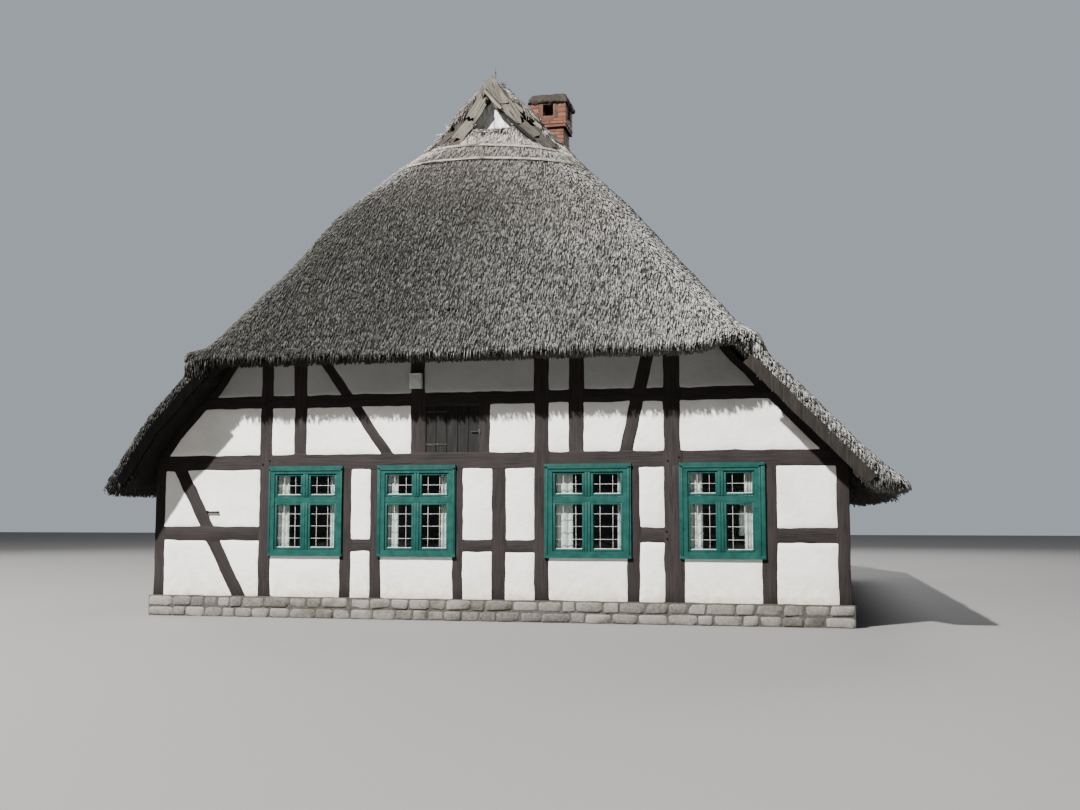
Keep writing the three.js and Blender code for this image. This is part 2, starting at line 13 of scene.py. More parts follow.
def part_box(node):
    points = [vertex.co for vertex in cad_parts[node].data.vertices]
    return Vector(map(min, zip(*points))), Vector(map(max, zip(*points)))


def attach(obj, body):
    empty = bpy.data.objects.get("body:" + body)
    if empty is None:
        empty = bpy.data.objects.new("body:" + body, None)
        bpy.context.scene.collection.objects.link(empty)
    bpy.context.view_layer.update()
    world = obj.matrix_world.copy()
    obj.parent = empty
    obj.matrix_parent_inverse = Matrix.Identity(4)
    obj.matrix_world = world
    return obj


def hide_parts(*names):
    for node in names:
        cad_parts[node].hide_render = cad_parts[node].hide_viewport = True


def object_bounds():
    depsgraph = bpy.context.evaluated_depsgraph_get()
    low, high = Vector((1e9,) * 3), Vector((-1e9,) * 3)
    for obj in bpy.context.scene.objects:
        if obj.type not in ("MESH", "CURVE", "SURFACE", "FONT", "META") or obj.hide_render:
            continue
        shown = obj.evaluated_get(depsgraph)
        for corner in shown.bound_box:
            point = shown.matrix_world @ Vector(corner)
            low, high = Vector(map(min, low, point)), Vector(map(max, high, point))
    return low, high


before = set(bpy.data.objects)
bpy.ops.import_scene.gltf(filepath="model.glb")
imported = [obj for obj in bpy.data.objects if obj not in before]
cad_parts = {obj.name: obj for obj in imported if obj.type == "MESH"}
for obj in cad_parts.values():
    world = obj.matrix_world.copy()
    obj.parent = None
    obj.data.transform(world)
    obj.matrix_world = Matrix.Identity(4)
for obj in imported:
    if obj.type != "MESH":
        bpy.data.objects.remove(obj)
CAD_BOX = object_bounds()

bl_info = {
    "name": "Thatched Cottage",
    "version": (1, 0, 0),
    "blender": (4, 5, 0),
    "location": "View3D > Sidebar > Cottage",
    "description": "Dresses a half-timbered cottage: reed thatch, oak, plaster, joinery and brick",
    "category": "Object",
}

BODY = "root"
FRONT_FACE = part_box("front_frame")[0].y
BACK_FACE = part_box("back_frame")[1].y
WALL_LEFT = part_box("front_frame")[0].x
WALL_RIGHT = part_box("front_frame")[1].x
ROOF_NODES = ("roof_left", "roof_right", "front_hip", "back_hip", "ridge_cap")
SHAFT_LOW, SHAFT_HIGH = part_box("chimney_shaft")
SHAFT_X = (SHAFT_LOW.x + SHAFT_HIGH.x) / 2
RIDGE_X = SHAFT_X + 0.09

# Timber frame of the street gable, in metres: posts and rails as (x0, x1, z0, z1).
GROUND_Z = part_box("plinth")[1].z
MID_RAIL = (2.29, 2.53)
HIGH_RAIL = (3.27, 3.465)
HIGH_RAIL_X = (-4.9, 4.5)
LOW_RAIL = (1.185, 1.405)
LOW_RAIL_MIDDLE = (1.03, 1.215)
TOP_Z = 4.5
TALL_POSTS = ((-3.715, -3.515), (2.68, 2.945), (0.73, 0.95))
LOW_POSTS = (
    (-5.5, -5.34), (5.14, 5.3), (-2.36, -2.18), (-1.87, -1.69),
    (-0.545, -0.38), (0.07, 0.285), (2.135, 2.32), (4.065, 4.3),
)
HIGH_POSTS = ((-3.15, -2.94), (-1.225, -1.0), (1.26, 1.49))
HATCH_POST = (-0.13, 0.035)
SHORT_RAILS = (
    (-5.5, -3.715, *LOW_RAIL), (-2.36, -1.69, *LOW_RAIL_MIDDLE),
    (-0.545, 0.95, *LOW_RAIL_MIDDLE), (2.135, 2.925, *LOW_RAIL), (4.085, 5.3, *LOW_RAIL),
)
# Braces as foot x, head x, width along x, foot z, head z.
BRACES = (
    (-4.04, -5.083, 0.232, GROUND_Z, 2.3), (-1.59, -3.07, 0.19, 2.52, 4.4),
    (2.12, 2.585, 0.2, 2.52, 4.4),
)
# Thickened side of the post left of window 4, which covers the plaster's edge there: its
# middle and width along x, and how far it stands back, which is forwards here.
POST_CHEEK = (2.885, 0.14, -0.008)
# How far a short post runs behind the rail that it meets.
POST_LAP = 0.1
# The tall post left of window 3 shows no pegs: its middle along x.
UNPEGGED_X = 0.84

# Long side walls: equal bays between posts.
SIDE_BAYS = 10
SIDE_POST = 0.16
SIDE_RAIL = (1.03, 1.19)
SIDE_PLATE_Z = (2.1, 2.28)
WALL_THICK = 0.2

# How far the dressing stands in front of the wall's face, and stays inside the CAD box.
TIMBER_PROUD = 0.006
PLASTER_PROUD = 0.009
BOX_PLAY = 0.0005

# Window joinery, in metres.
GABLE_HOLES = ((-3.515, -2.36), (-1.69, -0.545), (0.95, 2.135), (2.965, 4.045))
GABLE_HOLE_Z = (0.99, 2.29)
SIDE_HOLE_Z = (1.0, 1.9)
# Half the width of the window that is modelled and then fitted to each hole.
TEMPLATE_HALF = 0.57
JOINERY_WIDE = 0.06
CROSS_WIDE = 0.09
TRANSOM_UP = 0.64
SASH_WIDE = 0.034
BAR_WIDE = 0.0046
NAIL_STEP = 0.155
# How far behind the wall's face the curtains and their rods hang.
CURTAIN_BACK = 0.085

# Turns that lay an upright bar across a wall's face, and along it.
ACROSS = (math.radians(90), 0, 0)
ALONG = (0, math.radians(90), 0)


def linear(code):
    """An sRGB hex colour as the linear values that shaders take."""
    parts = [int(code[i:i + 2], 16) / 255 for i in (1, 3, 5)]
    return tuple(c / 12.92 if c <= 0.04045 else ((c + 0.055) / 1.055) ** 2.4 for c in parts)


class CottageSizes(bpy.types.PropertyGroup):
    """Sizes of the dressing that a user would change."""

    reed_length: FloatProperty(
        name="Reed length", description="Length of one tuft of reed on the street side",
        default=0.13, min=0.05, max=0.6, unit="LENGTH")
    reed_width: FloatProperty(
        name="Reed width", description="Width of one tuft of reed on the street side",
        default=0.0182, min=0.01, max=0.2, unit="LENGTH")
    reeds_per_m2: IntProperty(
        name="Reeds per square metre", description="Tufts on a square metre, street side",
        default=1200, min=20, max=2000)
    far_scale: FloatProperty(
        name="Far tuft scale", description="How much larger the tufts are away from the street",
        default=2.08, min=1.0, max=4.0, subtype="FACTOR")
    coat_voxel: FloatProperty(
        name="Coat detail", description="Grid size of the thatch coat under the tufts",
        default=0.105, min=0.05, max=0.2, unit="LENGTH")
    timber_chamfer: FloatProperty(
        name="Timber chamfer", description="Worn edge of the oak timbers",
        default=0.008, min=0.001, max=0.03, unit="LENGTH")
    hand_made: FloatProperty(
        name="Waviness", description="How far timbers and plaster wander from straight",
        default=0.03, min=0.0, max=0.1, unit="LENGTH")
    brick_length: FloatProperty(
        name="Brick length", description="Length of a chimney brick",
        default=0.235, min=0.1, max=0.4, unit="LENGTH")
    brick_course: FloatProperty(
        name="Brick course", description="Height of a brick and its joint",
        default=0.077, min=0.04, max=0.12, unit="LENGTH")


class CottageColours(bpy.types.PropertyGroup):
    """Main colours of the dressing."""

    reed: FloatVectorProperty(
        name="Reed", description="Weathered reed in full light",
        default=linear("#bdbbb6"), subtype="COLOR", min=0, max=1)
    reed_dark: FloatVectorProperty(
        name="Reed shade", description="Darkest weathered reed",
        default=linear("#444341"), subtype="COLOR", min=0, max=1)
    oak: FloatVectorProperty(
        name="Oak", description="Tarred oak bleached by the sun",
        default=linear("#1e1817"), subtype="COLOR", min=0, max=1)
    plaster: FloatVectorProperty(
        name="Plaster", description="Limewashed plaster",
        default=linear("#f2f0ea"), subtype="COLOR", min=0, max=1)
    paint: FloatVectorProperty(
        name="Window paint", description="Blue-green oil paint",
        default=linear("#0b423b"), subtype="COLOR", min=0, max=1)
    brick: FloatVectorProperty(
        name="Brick", description="Fired clay brick",
        default=linear("#623e2f"), subtype="COLOR", min=0, max=1)


def sizes():
    """The sizes that the user has set."""
    return bpy.context.scene.cottage_sizes


def colours():
    """The colours that the user has set."""
    return bpy.context.scene.cottage_colours


def opaque(value):
    """A colour, as a hex code or linear numbers, with the fourth number that sockets take."""
    return (*tuple(linear(value) if isinstance(value, str) else value)[:3], 1.0)


# Materials.

class Shading:
    """A material in the making: each method adds a node and returns what it puts out.
    Colours are hex codes, linear numbers or the output of another node."""

    def __init__(self, name):
        self.material = bpy.data.materials.new(name)
        self.material.use_nodes = True
        self.tree = self.material.node_tree
        self.tree.nodes.clear()

    def add(self, kind, inputs=None, **settings):
        """Adds a shader node, sets its options, and fills or links its inputs."""
        node = self.tree.nodes.new("ShaderNode" + kind)
        for option, value in settings.items():
            setattr(node, option, value)
        for socket, value in (inputs or {}).items():
            if isinstance(value, bpy.types.NodeSocket):
                self.tree.links.new(value, node.inputs[socket])
            else:
                node.inputs[socket].default_value = (
                    opaque(value) if isinstance(value, str) else value)
        return node

    def place(self):
        """The place on the object, in metres."""
        return self.add("TexCoord").outputs["Object"]

    def axes(self, place):
        """The three numbers of a place."""
        return self.add("SeparateXYZ", {"Vector": place}).outputs

    def attribute(self, name, output="Fac"):
        """A value that the mesh carries."""
        return self.add("Attribute", attribute_name=name).outputs[output]

    def noise(self, place, scale, detail=2.0, roughness=0.5, distortion=0.0):
        """Noise of one scale, or drawn out to a grain where three scales are given."""
        if isinstance(scale, tuple):
            place = self.add("Mapping", {"Vector": place, "Scale": scale}).outputs[0]
            scale = 1.0
        return self.add("TexNoise", {
            "Vector": place, "Scale": scale, "Detail": detail, "Roughness": roughness,
            "Distortion": distortion}).outputs["Fac"]

    def span(self, value, low, high, first=0.0, last=1.0):
        """A value's stretch from low to high, laid on first to last and held there."""
        return self.add("MapRange", {
            "Value": value, "From Min": low, "From Max": high, "To Min": first,
            "To Max": last}).outputs[0]

    def math(self, operation, first, second=0.5):
        """A calculation with one or two values."""
        return self.add("Math", {0: first, 1: second}, operation=operation).outputs[0]

    def ramp(self, value, *stops):
        """A value's colour on a ramp of (place, colour) stops."""
        node = self.add("ValToRGB", {"Fac": value})
        elements = node.color_ramp.elements
        while len(elements) < len(stops):
            elements.new(0.5)
        for element, (place, colour) in zip(elements, stops):
            element.position = place
            element.color = opaque(colour)
        return node.outputs["Color"]

    def mix(self, share, under, over, blend="MIX"):
        """One colour laid over another by a share."""
        return self.add("Mix", {"Factor": share, "A": under, "B": over},
                        data_type="RGBA", blend_type=blend).outputs["Result"]

    def bump(self, height, strength, distance):
        """The normal of a surface with this relief."""
        return self.add("Bump", {
            "Height": height, "Strength": strength, "Distance": distance}).outputs[0]

    def finish(self, shader):
        """Links the shader to the material's output and returns the material."""
        self.add("OutputMaterial", {"Surface": shader.outputs[0]})
        return self.material

    def surface(self, colour, roughness, normal, shine=0.5, metallic=0.0):
        """Finishes the material as an opaque surface."""
        return self.finish(self.add("BsdfPrincipled", {
            "Base Color": colour, "Roughness": roughness, "Normal": normal,
            "Specular IOR Level": shine, "Metallic": metallic}))


def reed_material(name, light, dark, tinted, renewed):
    """Water reed left to the weather: silver-grey straws, matt, with dark gaps between them.
    Straws are 7 mm across; tufts and streaks are drawn some 20 mm wide so that they show.
    It browns up the slope and moss greys it in patches; painted shade darkens it to the left and
    painted light lightens it to the right, most on the street side and below the crown. Renewed is
    how far the crown's fresh reed shows."""
    make = Shading(name)
    place = make.place()
    aside, along, height = make.axes(place)
    tone = make.attribute("tone")
    patches = make.noise(place, 0.55, 4.0, 0.6)
    straws = make.noise(place, 38.0, 3.0, 0.7)
    shade = make.ramp(
        make.math("MULTIPLY", make.math("ADD", tone, straws), 0.5),
        (0.22, dark), (0.45, [(a + b) / 2 for a, b in zip(light, dark)]), (0.72, light))
    warm = make.math("MULTIPLY", make.span(height, 5.6, 7.6, 0.0, 0.36), patches)
    browned = make.mix(warm, shade, "#6b5a4a")
    # Painted shade darkens the reed to the left and painted light lightens it to the right, most on
    # the street side and below the crown.
    painted_light_and_shade = make.ramp(
        make.span(aside, -4.0, 3.6), (0.0, (0.21, 0.21, 0.20)), (0.3, (0.30, 0.30, 0.29)),
        (0.5, (0.43, 0.43, 0.42)), (0.76, (0.84, 0.83, 0.83)), (1.0, (1.12, 1.11, 1.10)))
    shaded = make.math("MULTIPLY", make.span(height, 6.7, 8.1, 1.0, 0.12),
                       make.span(along, -6.6, -4.4, 1.0, 0.4))
    browned = make.mix(shaded, browned, painted_light_and_shade, "MULTIPLY")
    mossy = make.mix(make.span(patches, 0.56, 0.75, 0.0, tinted), browned, "#45453c")
    crown = make.math("MULTIPLY", make.span(height, 7.25, 7.9, 0.0, renewed),
                      make.span(make.math("ABSOLUTE", along), 3.8, 5.3, 0.15, 1.0))
    done = make.mix(make.math("MULTIPLY", crown, tone), mossy, "#e6dccd")
    return make.surface(done, 0.92, make.bump(straws, 0.7, 0.02), 0.2)


def weathered_reed():
    """The straws in the open: silver-grey, with fresh yellow-white ones at the crown."""
    return reed_material(
        "weathered_reed", tuple(colours().reed), tuple(colours().reed_dark), 0.35, 0.6)


def packed_reed():
    """The same reed drawn much darker as painted shade, for the coat that shows deep between the
    tufts and under the eaves.
    """
    dark = tuple(colours().reed_dark)
    return reed_material(
        "packed_reed", [0.9 * c for c in dark], [0.3 * c for c in dark], 0.2, 0.0)


def tarred_oak(grained):
    """Sawn and tarred oak, bleached grey-brown: matt, with long grain and drying checks.
    Grain lines are 3 mm apart; they are drawn 8 mm apart so that they show."""
    make = Shading("tarred_oak_beam" if grained else "tarred_oak_inner")
    place = make.attribute("grain", "Vector") if grained else make.place()
    grain = make.noise(place, (60.0, 60.0, 2.4), 5.0, 0.65, 0.4)
    broad = make.noise(place, 2.1, 3.0, 0.55)
    base = tuple(colours().oak)
    shade = make.ramp(
        grain, (0.32, [0.2 * c for c in base]), (0.46, base), (0.72, [2.3 * c for c in base]))
    faded = make.mix(make.span(broad, 0.4, 0.7, 0.0, 0.45), shade, "#2f2827")
    split = make.span(make.noise(place, (26.0, 26.0, 0.9)), 0.66, 0.70)
    marked = make.mix(split, faded, "#1d1817")
    relief = make.bump(make.math("SUBTRACT", grain, split), 0.6, 0.006)
    return make.surface(marked, 0.82, relief, 0.3)


def limewashed_plaster():
    """Lime plaster under many coats of limewash: matt chalky white, trowelled by hand, with
    rust-cream damp stains near the ground and a grey band of painted shadow up under the eaves."""
    make = Shading("limewashed_plaster")
    place = make.place()
    height = make.axes(place)[2]
    clouds = make.noise(place, 1.7, 5.0, 0.6)
    trowel = make.noise(place, 9.0, 6.0, 0.6, 0.3)
    grit = make.noise(place, 120.0)
    white = tuple(colours().plaster)
    base = make.ramp(clouds, (0.25, [0.82 * c for c in white]), (0.55, white), (0.8, white))
    damp = make.math("MULTIPLY", make.span(height, 0.32, 0.82, 1.0, 0.0),
                     make.span(trowel, 0.35, 0.7, 0.0, 0.95))
    stained = make.mix(damp, base, "#d9bf98")
    # Grey painted shadow of the eaves over the plaster's upper band.
    painted_eave_shadow = make.mix(make.span(height, 3.25, 3.5, 0.0, 0.7), stained, "#5f6566")
    rough = make.math("ADD", trowel, make.math("MULTIPLY", grit, 0.16))
    return make.surface(painted_eave_shadow, 0.9, make.bump(rough, 0.5, 0.02), 0.2)


def oil_paint(name, colour, gloss):
    """Linseed oil paint on softwood: half-shine, brush marks, worn darker and lighter in patches."""
    make = Shading(name)
    place = make.place()
    brush = make.noise(place, (55.0, 55.0, 9.0), 4.0, 0.6)
    wear = make.noise(place, 6.5, 6.0, 0.65)
    shade = make.ramp(
        wear, (0.28, [0.62 * c for c in colour]), (0.5, colour),
        (0.78, [min(1, 1.28 * c + 0.01) for c in colour]))
    rough = make.span(wear, 0.0, 1.0, gloss - 0.1, gloss + 0.15)
    return make.surface(shade, rough, make.bump(brush, 0.35, 0.002), 0.22)


def old_window_glass():
    """Drawn window glass: clear, nearly smooth, faintly wavy. Each face mirrors 4 percent of
    the light, and much more at a slant."""
    make = Shading("old_window_glass")
    normal = make.bump(make.noise(make.place(), 5.0), 0.12, 0.01)
    clear = make.add("BsdfTransparent", {"Color": "#f6faf8"})
    mirror = make.add("BsdfGlossy", {"Color": "#f4f8f8", "Roughness": 0.03, "Normal": normal})
    facing = make.add("LayerWeight", {"Blend": 0.5, "Normal": normal}).outputs["Facing"]
    gloss = make.span(make.math("POWER", facing, 5.0), 0.0, 1.0, 0.04, 1.0)
    return make.finish(make.add("MixShader", {
        "Fac": gloss, 1: clear.outputs[0], 2: mirror.outputs[0]}))


def silvered_board():
    """Softwood boards bleached silver by sun and rain: matt, ridged grain, dark splits."""
    make = Shading("silvered_board")
    place = make.attribute("grain", "Vector")
    grain = make.noise(place, (70.0, 70.0, 3.0), 5.0, 0.7, 0.5)
    shade = make.ramp(grain, (0.32, "#26231f"), (0.5, "#5c574e"), (0.72, "#857f73"))
    blotch = make.span(make.noise(place, 4.0, 4.0), 0.45, 0.75, 0.0, 0.6)
    split = make.span(make.noise(place, (30.0, 30.0, 2.2)), 0.6, 0.66)
    cracked = make.mix(split, make.mix(blotch, shade, "#57504a"), "#1a1613")
    # Each board's tone multiplies its colour: mostly its own lightness, for a few boards painted
    # light or shade.
    toned = make.mix(1.0, cracked, make.attribute("tone", "Color"), "MULTIPLY")
    return make.surface(toned, 0.88, make.bump(grain, 0.7, 0.006), 0.25)


def limewashed_board():
    """Sawn boards under thin limewash: chalky white with grey wood grinning through."""
    make = Shading("limewashed_board")
    brushed = make.noise(make.place(), (14.0, 14.0, 3.0), 6.0, 0.7, 0.6)
    shade = make.ramp(brushed, (0.34, "#9b9994"), (0.5, "#d3d4d3"), (0.7, "#f0f2f3"))
    return make.surface(shade, 0.9, make.bump(brushed, 0.6, 0.01), 0.2)


def plank_material(name, dark, mid, light, shine=0.25):
    """Sawn planks and pegs, tarred or bare: matt, rough, with long grain. A low shine takes the gloss
    off a board drawn in painted shade."""
    make = Shading(name)
    grain = make.noise(make.place(), (48.0, 48.0, 2.6), 5.0, 0.65, 0.4)
    shade = make.ramp(grain, (0.3, dark), (0.5, mid), (0.75, light))
    return make.surface(shade, 0.85, make.bump(grain, 0.6, 0.004), shine)


def mineral(name, dark, light, scale, depth, moss=0.0):
    """Stone, mortar or clay with a grain of the given scale: matt, pitted, patchy."""
    make = Shading(name)
    place = make.place()
    grit = make.noise(place, scale, 6.0, 0.65)
    soot = make.noise(place, 3.2, 5.0, 0.6)
    toned = make.math("MULTIPLY", make.attribute("tone"), 0.45)
    shade = make.ramp(make.math("ADD", grit, toned), (0.35, dark), (0.95, light))
    grown = make.mix(make.span(soot, 0.5, 0.66, 0.0, moss), shade, "#3a352c")
    return make.surface(grown, 0.9, make.bump(grit, 0.7, depth), 0.25)


def fired_brick():
    """Hand-struck clay brick, fired unevenly: matt red-brown, gritty, sooty in patches."""
    red = tuple(colours().brick)
    return mineral("fired_brick", [0.55 * c for c in red], [1.35 * c for c in red],
                   42.0, 0.004, 0.7)


def forged_iron(name="forged_iron", dark="#232120", light="#5c5651"):
    """Forged wrought iron under old paint: nearly black, uneven, faint shine, rust freckles."""
    make = Shading(name)
    hammer = make.noise(make.place(), 70.0, 3.0)
    shade = make.ramp(hammer, (0.4, dark), (0.7, light))
    return make.surface(shade, 0.6, make.bump(hammer, 0.5, 0.002), metallic=0.7)


def net_cotton():
    """Cotton net curtain: thin, white, softly lit through, with a 2 mm mesh drawn as grain."""
    make = Shading("net_cotton")
    weave = make.noise(make.place(), 160.0)
    shade = make.ramp(weave, (0.35, "#e6e6e2"), (0.6, "#fbfaf6"))
    solid = make.add("BsdfDiffuse", {"Color": shade, "Normal": make.bump(weave, 0.3, 0.002)})
    through = make.add("BsdfTranslucent", {"Color": shade})
    return make.finish(make.add("MixShader", {
        "Fac": 0.35, 1: solid.outputs[0], 2: through.outputs[0]}))


# Modelling helpers.

def only(*objects):
    """Selects these objects alone, the first one active."""
    bpy.ops.object.select_all(action="DESELECT")
    for item in objects:
        item.select_set(True)
    bpy.context.view_layer.objects.active = objects[0]


@contextmanager
def editing(item, pick=None):
    """Edit mode on one object, with all of it selected or only the faces that pick keeps."""
    only(item)
    bpy.ops.object.mode_set(mode="EDIT")
    bpy.ops.mesh.select_mode(type="FACE")
    bpy.ops.mesh.select_all(action="SELECT" if pick is None else "DESELECT")
    if pick is not None:
        bpy.ops.object.mode_set(mode="OBJECT")
        for face in item.data.polygons:
            face.select = bool(pick(face))
        bpy.ops.object.mode_set(mode="EDIT")
    yield item
    bpy.ops.object.mode_set(mode="OBJECT")


def applied(item, kind, **settings):
    """Adds a modifier of this kind, sets it and applies it."""
    only(item)
    modifier = item.modifiers.new(kind.lower(), kind)
    for option, value in settings.items():
        setattr(modifier, option, value)
    bpy.ops.object.modifier_apply(modifier=modifier.name)
    return item


def chamfered(item, width, segments=2):
    """Rounds off the sharp edges."""
    return applied(item, "BEVEL", width=width, segments=segments, limit_method="ANGLE",
                   angle_limit=math.radians(35))


def block(low, high):
    """A box between two corners, with its place in its mesh."""
    low, high = Vector(low), Vector(high)
    bpy.ops.object.select_all(action="DESELECT")
    bpy.ops.mesh.primitive_cube_add(size=1, location=(low + high) / 2)
    item = bpy.context.object
    item.scale = high - low
    bpy.ops.object.transform_apply(location=True, rotation=True, scale=True)
    return item


def softened(low, high, edge=0.003, segments=2):
    """A block with softened edges."""
    return chamfered(block(low, high), edge, segments)


def pin(radius, long, place, turn=(0, 0, 0), sides=8, edge=0.002):
    """A round bar or nail with softened ends; unturned it stands upright."""
    bpy.ops.object.select_all(action="DESELECT")
    bpy.ops.mesh.primitive_cylinder_add(
        vertices=sides, radius=radius, depth=long, rotation=turn, location=place)
    item = chamfered(bpy.context.object, edge, 1)
    bpy.ops.object.transform_apply(location=True, rotation=True, scale=True)
    return item


def joined(name, items):
    """All of these objects as one mesh under this name."""
    only(*items)
    if len(items) > 1:
        bpy.ops.object.join()
    item = bpy.context.object
    item.name = name
    item.data.name = name
    return item


def node_copy(node, name):
    """A merged copy of a CAD node's mesh, as a new object."""
    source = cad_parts[node]
    item = bpy.data.objects.new(name, source.data.copy())
    bpy.context.scene.collection.objects.link(item)
    item.data.materials.clear()
    with editing(item):
        bpy.ops.mesh.remove_doubles(threshold=0.0001)
    return item


def moved(item, matrix):
    """Moves the mesh itself, so the object stays at the origin."""
    item.data.transform(matrix)
    item.data.update()
    return item


def wander(item, strength, size, seed_name, directions="XYZ"):
    """Pushes the mesh about by a smooth cloud pattern, as hand work wanders."""
    texture = bpy.data.textures.get(seed_name) or bpy.data.textures.new(seed_name, "CLOUDS")
    texture.noise_scale = size
    texture.noise_depth = 1
    for direction in directions:
        applied(item, "DISPLACE", texture=texture, direction=direction, strength=strength,
                mid_level=0.5, texture_coords="LOCAL")
    return item


def grid_cut(item, axis, spacing):
    """Cuts the mesh by parallel planes, so that it can wander."""
    places = [v.co[axis] for v in item.data.vertices]
    count = int((max(places) - min(places)) / spacing)
    step = (max(places) - min(places)) / (count + 1)
    normal = [float(i == axis) for i in range(3)]
    with editing(item):
        for i in range(count):
            bpy.ops.mesh.select_all(action="SELECT")
            point = [c * (min(places) + step * (i + 1)) for c in normal]
            bpy.ops.mesh.bisect(plane_co=point, plane_no=normal)
    return item


def set_numbers(item, name, values, kind="FLOAT"):
    """Stores one value for each vertex under this name."""
    attribute = item.data.attributes.new(name, kind, "POINT")
    field = "value" if kind == "FLOAT" else "vector"
    attribute.data.foreach_set(field, np.asarray(values, np.float32).ravel())


def rows(items, field, kind=np.float32):
    """One field of many mesh parts, as rows of three numbers."""
    values = np.empty(len(items) * 3, kind)
    items.foreach_get(field, values)
    return values.reshape(-1, 3)


def keep_inside(item):
    """Brings back any vertex that lies outside the CAD box."""
    places = rows(item.data.vertices, "co")
    low, high = (np.array(corner, np.float32) for corner in CAD_BOX)
    np.clip(places, low + BOX_PLAY, high - BOX_PLAY, out=places)
    item.data.vertices.foreach_set("co", places.ravel())
    item.data.update()


def dressed(item, material, replaces=(), smooth=True):
    """Gives a finished piece its material and the body that it rides on."""
    keep_inside(item)
    item.data.materials.clear()
    item.data.materials.append(material)
    only(item)
    if smooth:
        bpy.ops.object.shade_smooth_by_angle(angle=math.radians(38))
    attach(item, BODY)
    if replaces:
        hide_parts(*replaces)
    return item


def painted(nodes, material):
    """Gives CAD nodes that stay in view their material."""
    for name in nodes:
        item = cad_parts[name]
        for place in item.material_slots:
            place.material = material
        if not item.material_slots:
            item.data.materials.append(material)


def scattered(name, template, matrices, tones):
    """One mesh of many copies of a small shape, each with its own place and tone."""
    shape = np.array([v.co for v in template.data.vertices], np.float32)
    shape = np.hstack([shape, np.ones((len(shape), 1), np.float32)])
    matrices = np.asarray(matrices, np.float32)
    count = len(matrices)
    places = np.einsum("nij,vj->nvi", matrices[:, :3, :], shape).reshape(-1, 3)
    corners = np.array([i for f in template.data.polygons for i in f.vertices], np.int32)
    lengths = np.array([len(f.vertices) for f in template.data.polygons], np.int32)
    starts = np.concatenate([[0], np.cumsum(lengths)[:-1]]).astype(np.int32)
    offsets = np.arange(count, dtype=np.int32)
    mesh = bpy.data.meshes.new(name)
    mesh.vertices.add(len(places))
    mesh.vertices.foreach_set("co", places.ravel())
    mesh.loops.add(len(corners) * count)
    mesh.loops.foreach_set("vertex_index", (
        corners[None] + offsets[:, None] * len(shape)).ravel().astype(np.int32))
    mesh.polygons.add(len(lengths) * count)
    mesh.polygons.foreach_set("loop_start", (
        starts[None] + offsets[:, None] * len(corners)).ravel().astype(np.int32))
    mesh.update(calc_edges=True)
    item = bpy.data.objects.new(name, mesh)
    bpy.context.scene.collection.objects.link(item)
    set_numbers(item, "tone", np.repeat(np.asarray(tones, np.float32), len(shape)))
    return item


def removed(item):
    """Takes a helper object out of the scene."""
    bpy.data.objects.remove(item)


# Thatch.

# Top of the reed apron under each gablet.
APRON_TOP = 8.13
# The hips' reed lies above this height and farther out along y than the second number; past
# the third it hangs over the gable walls.
HIP_FOOT, HIP_START, OVERHANG = 3.6, 5.2, 7.3


def gable_wedge(side):
    """A three-sided wedge that keeps the hollow in front of a gablet sharp."""
    low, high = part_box("front_gablet")
    face = low.y if side < 0 else -low.y
    item = block((low.x + 0.13, min(face, face + side * 0.6), APRON_TOP),
                 (high.x - 0.09, max(face, face + side * 0.6), high.z + 0.12))
    with editing(item, lambda f: f.normal.z > 0.9):
        bpy.ops.transform.resize(value=(0.02, 1, 1))
    return item


def ease(t):
    """Rises smoothly from 0 to 1 as t does."""
    t = min(max(t, 0.0), 1.0)
    return t * t * (3 - 2 * t)


def lift_corners(coat):
    """Turns up the right-hand end of each hip's eave, as the thatcher cut it."""
    for v in coat.data.vertices:
        x, y, z = v.co
        if abs(y) > 7.0 and HIP_FOOT < z < 4.5 and 3.0 < x < 4.25:
            reach = ease((x - 3.1) / 0.7) * (1 - ease((x - 4.05) / 0.2))
            v.co.z += 0.15 * reach * (1 - ease((z - 3.95) / 0.5)) * ease((abs(y) - 7.0) / 0.4)
    coat.data.update()


def cut_away(coat, cutter):
    """Cuts this shape out of the coat and removes it."""
    applied(coat, "BOOLEAN", operation="DIFFERENCE", object=cutter, solver="FAST")
    removed(cutter)


def thatch_coat():
    """All the thatch as one smooth, slightly uneven coat, cut round the chimney."""
    # Reed is packed against the chimney, at the left end of each hip's eave and in the
    # apron under each gablet.
    extra = [block((SHAFT_LOW.x, -0.45, 7.4), (SHAFT_HIGH.x, 0.45, 8.9))]
    for side in (-1, 1):
        low, high = sorted((side * 7.87, side * 7.1))
        extra.append(softened((-4.80, low, 3.80), (-4.30, high, 4.16), 0.13, 3))
        low, high = sorted((side * 5.58, side * 5.3))
        extra.append(block((-1.15, low, 7.6), (0.42, high, APRON_TOP + 0.05)))
    coat = joined("thatch_coat", [node_copy(n, n + "_copy") for n in ROOF_NODES] + extra)
    applied(coat, "REMESH", mode="VOXEL", voxel_size=sizes().coat_voxel, adaptivity=0.0)
    applied(coat, "SMOOTH", factor=0.5, iterations=5)
    applied(coat, "DECIMATE", ratio=0.42)
    lift_corners(coat)
    wander(coat, 0.035, 1.1, "coat_swell", "YZ")
    wander(coat, 0.02, 0.3, "coat_lumps", "XZ")
    stack = block((SHAFT_LOW.x + 0.06, -0.325, 6.0), (SHAFT_HIGH.x - 0.06, 0.325, 9.6))
    cut_away(coat, stack)
    for side in (-1, 1):
        cut_away(coat, gable_wedge(side))
    return coat


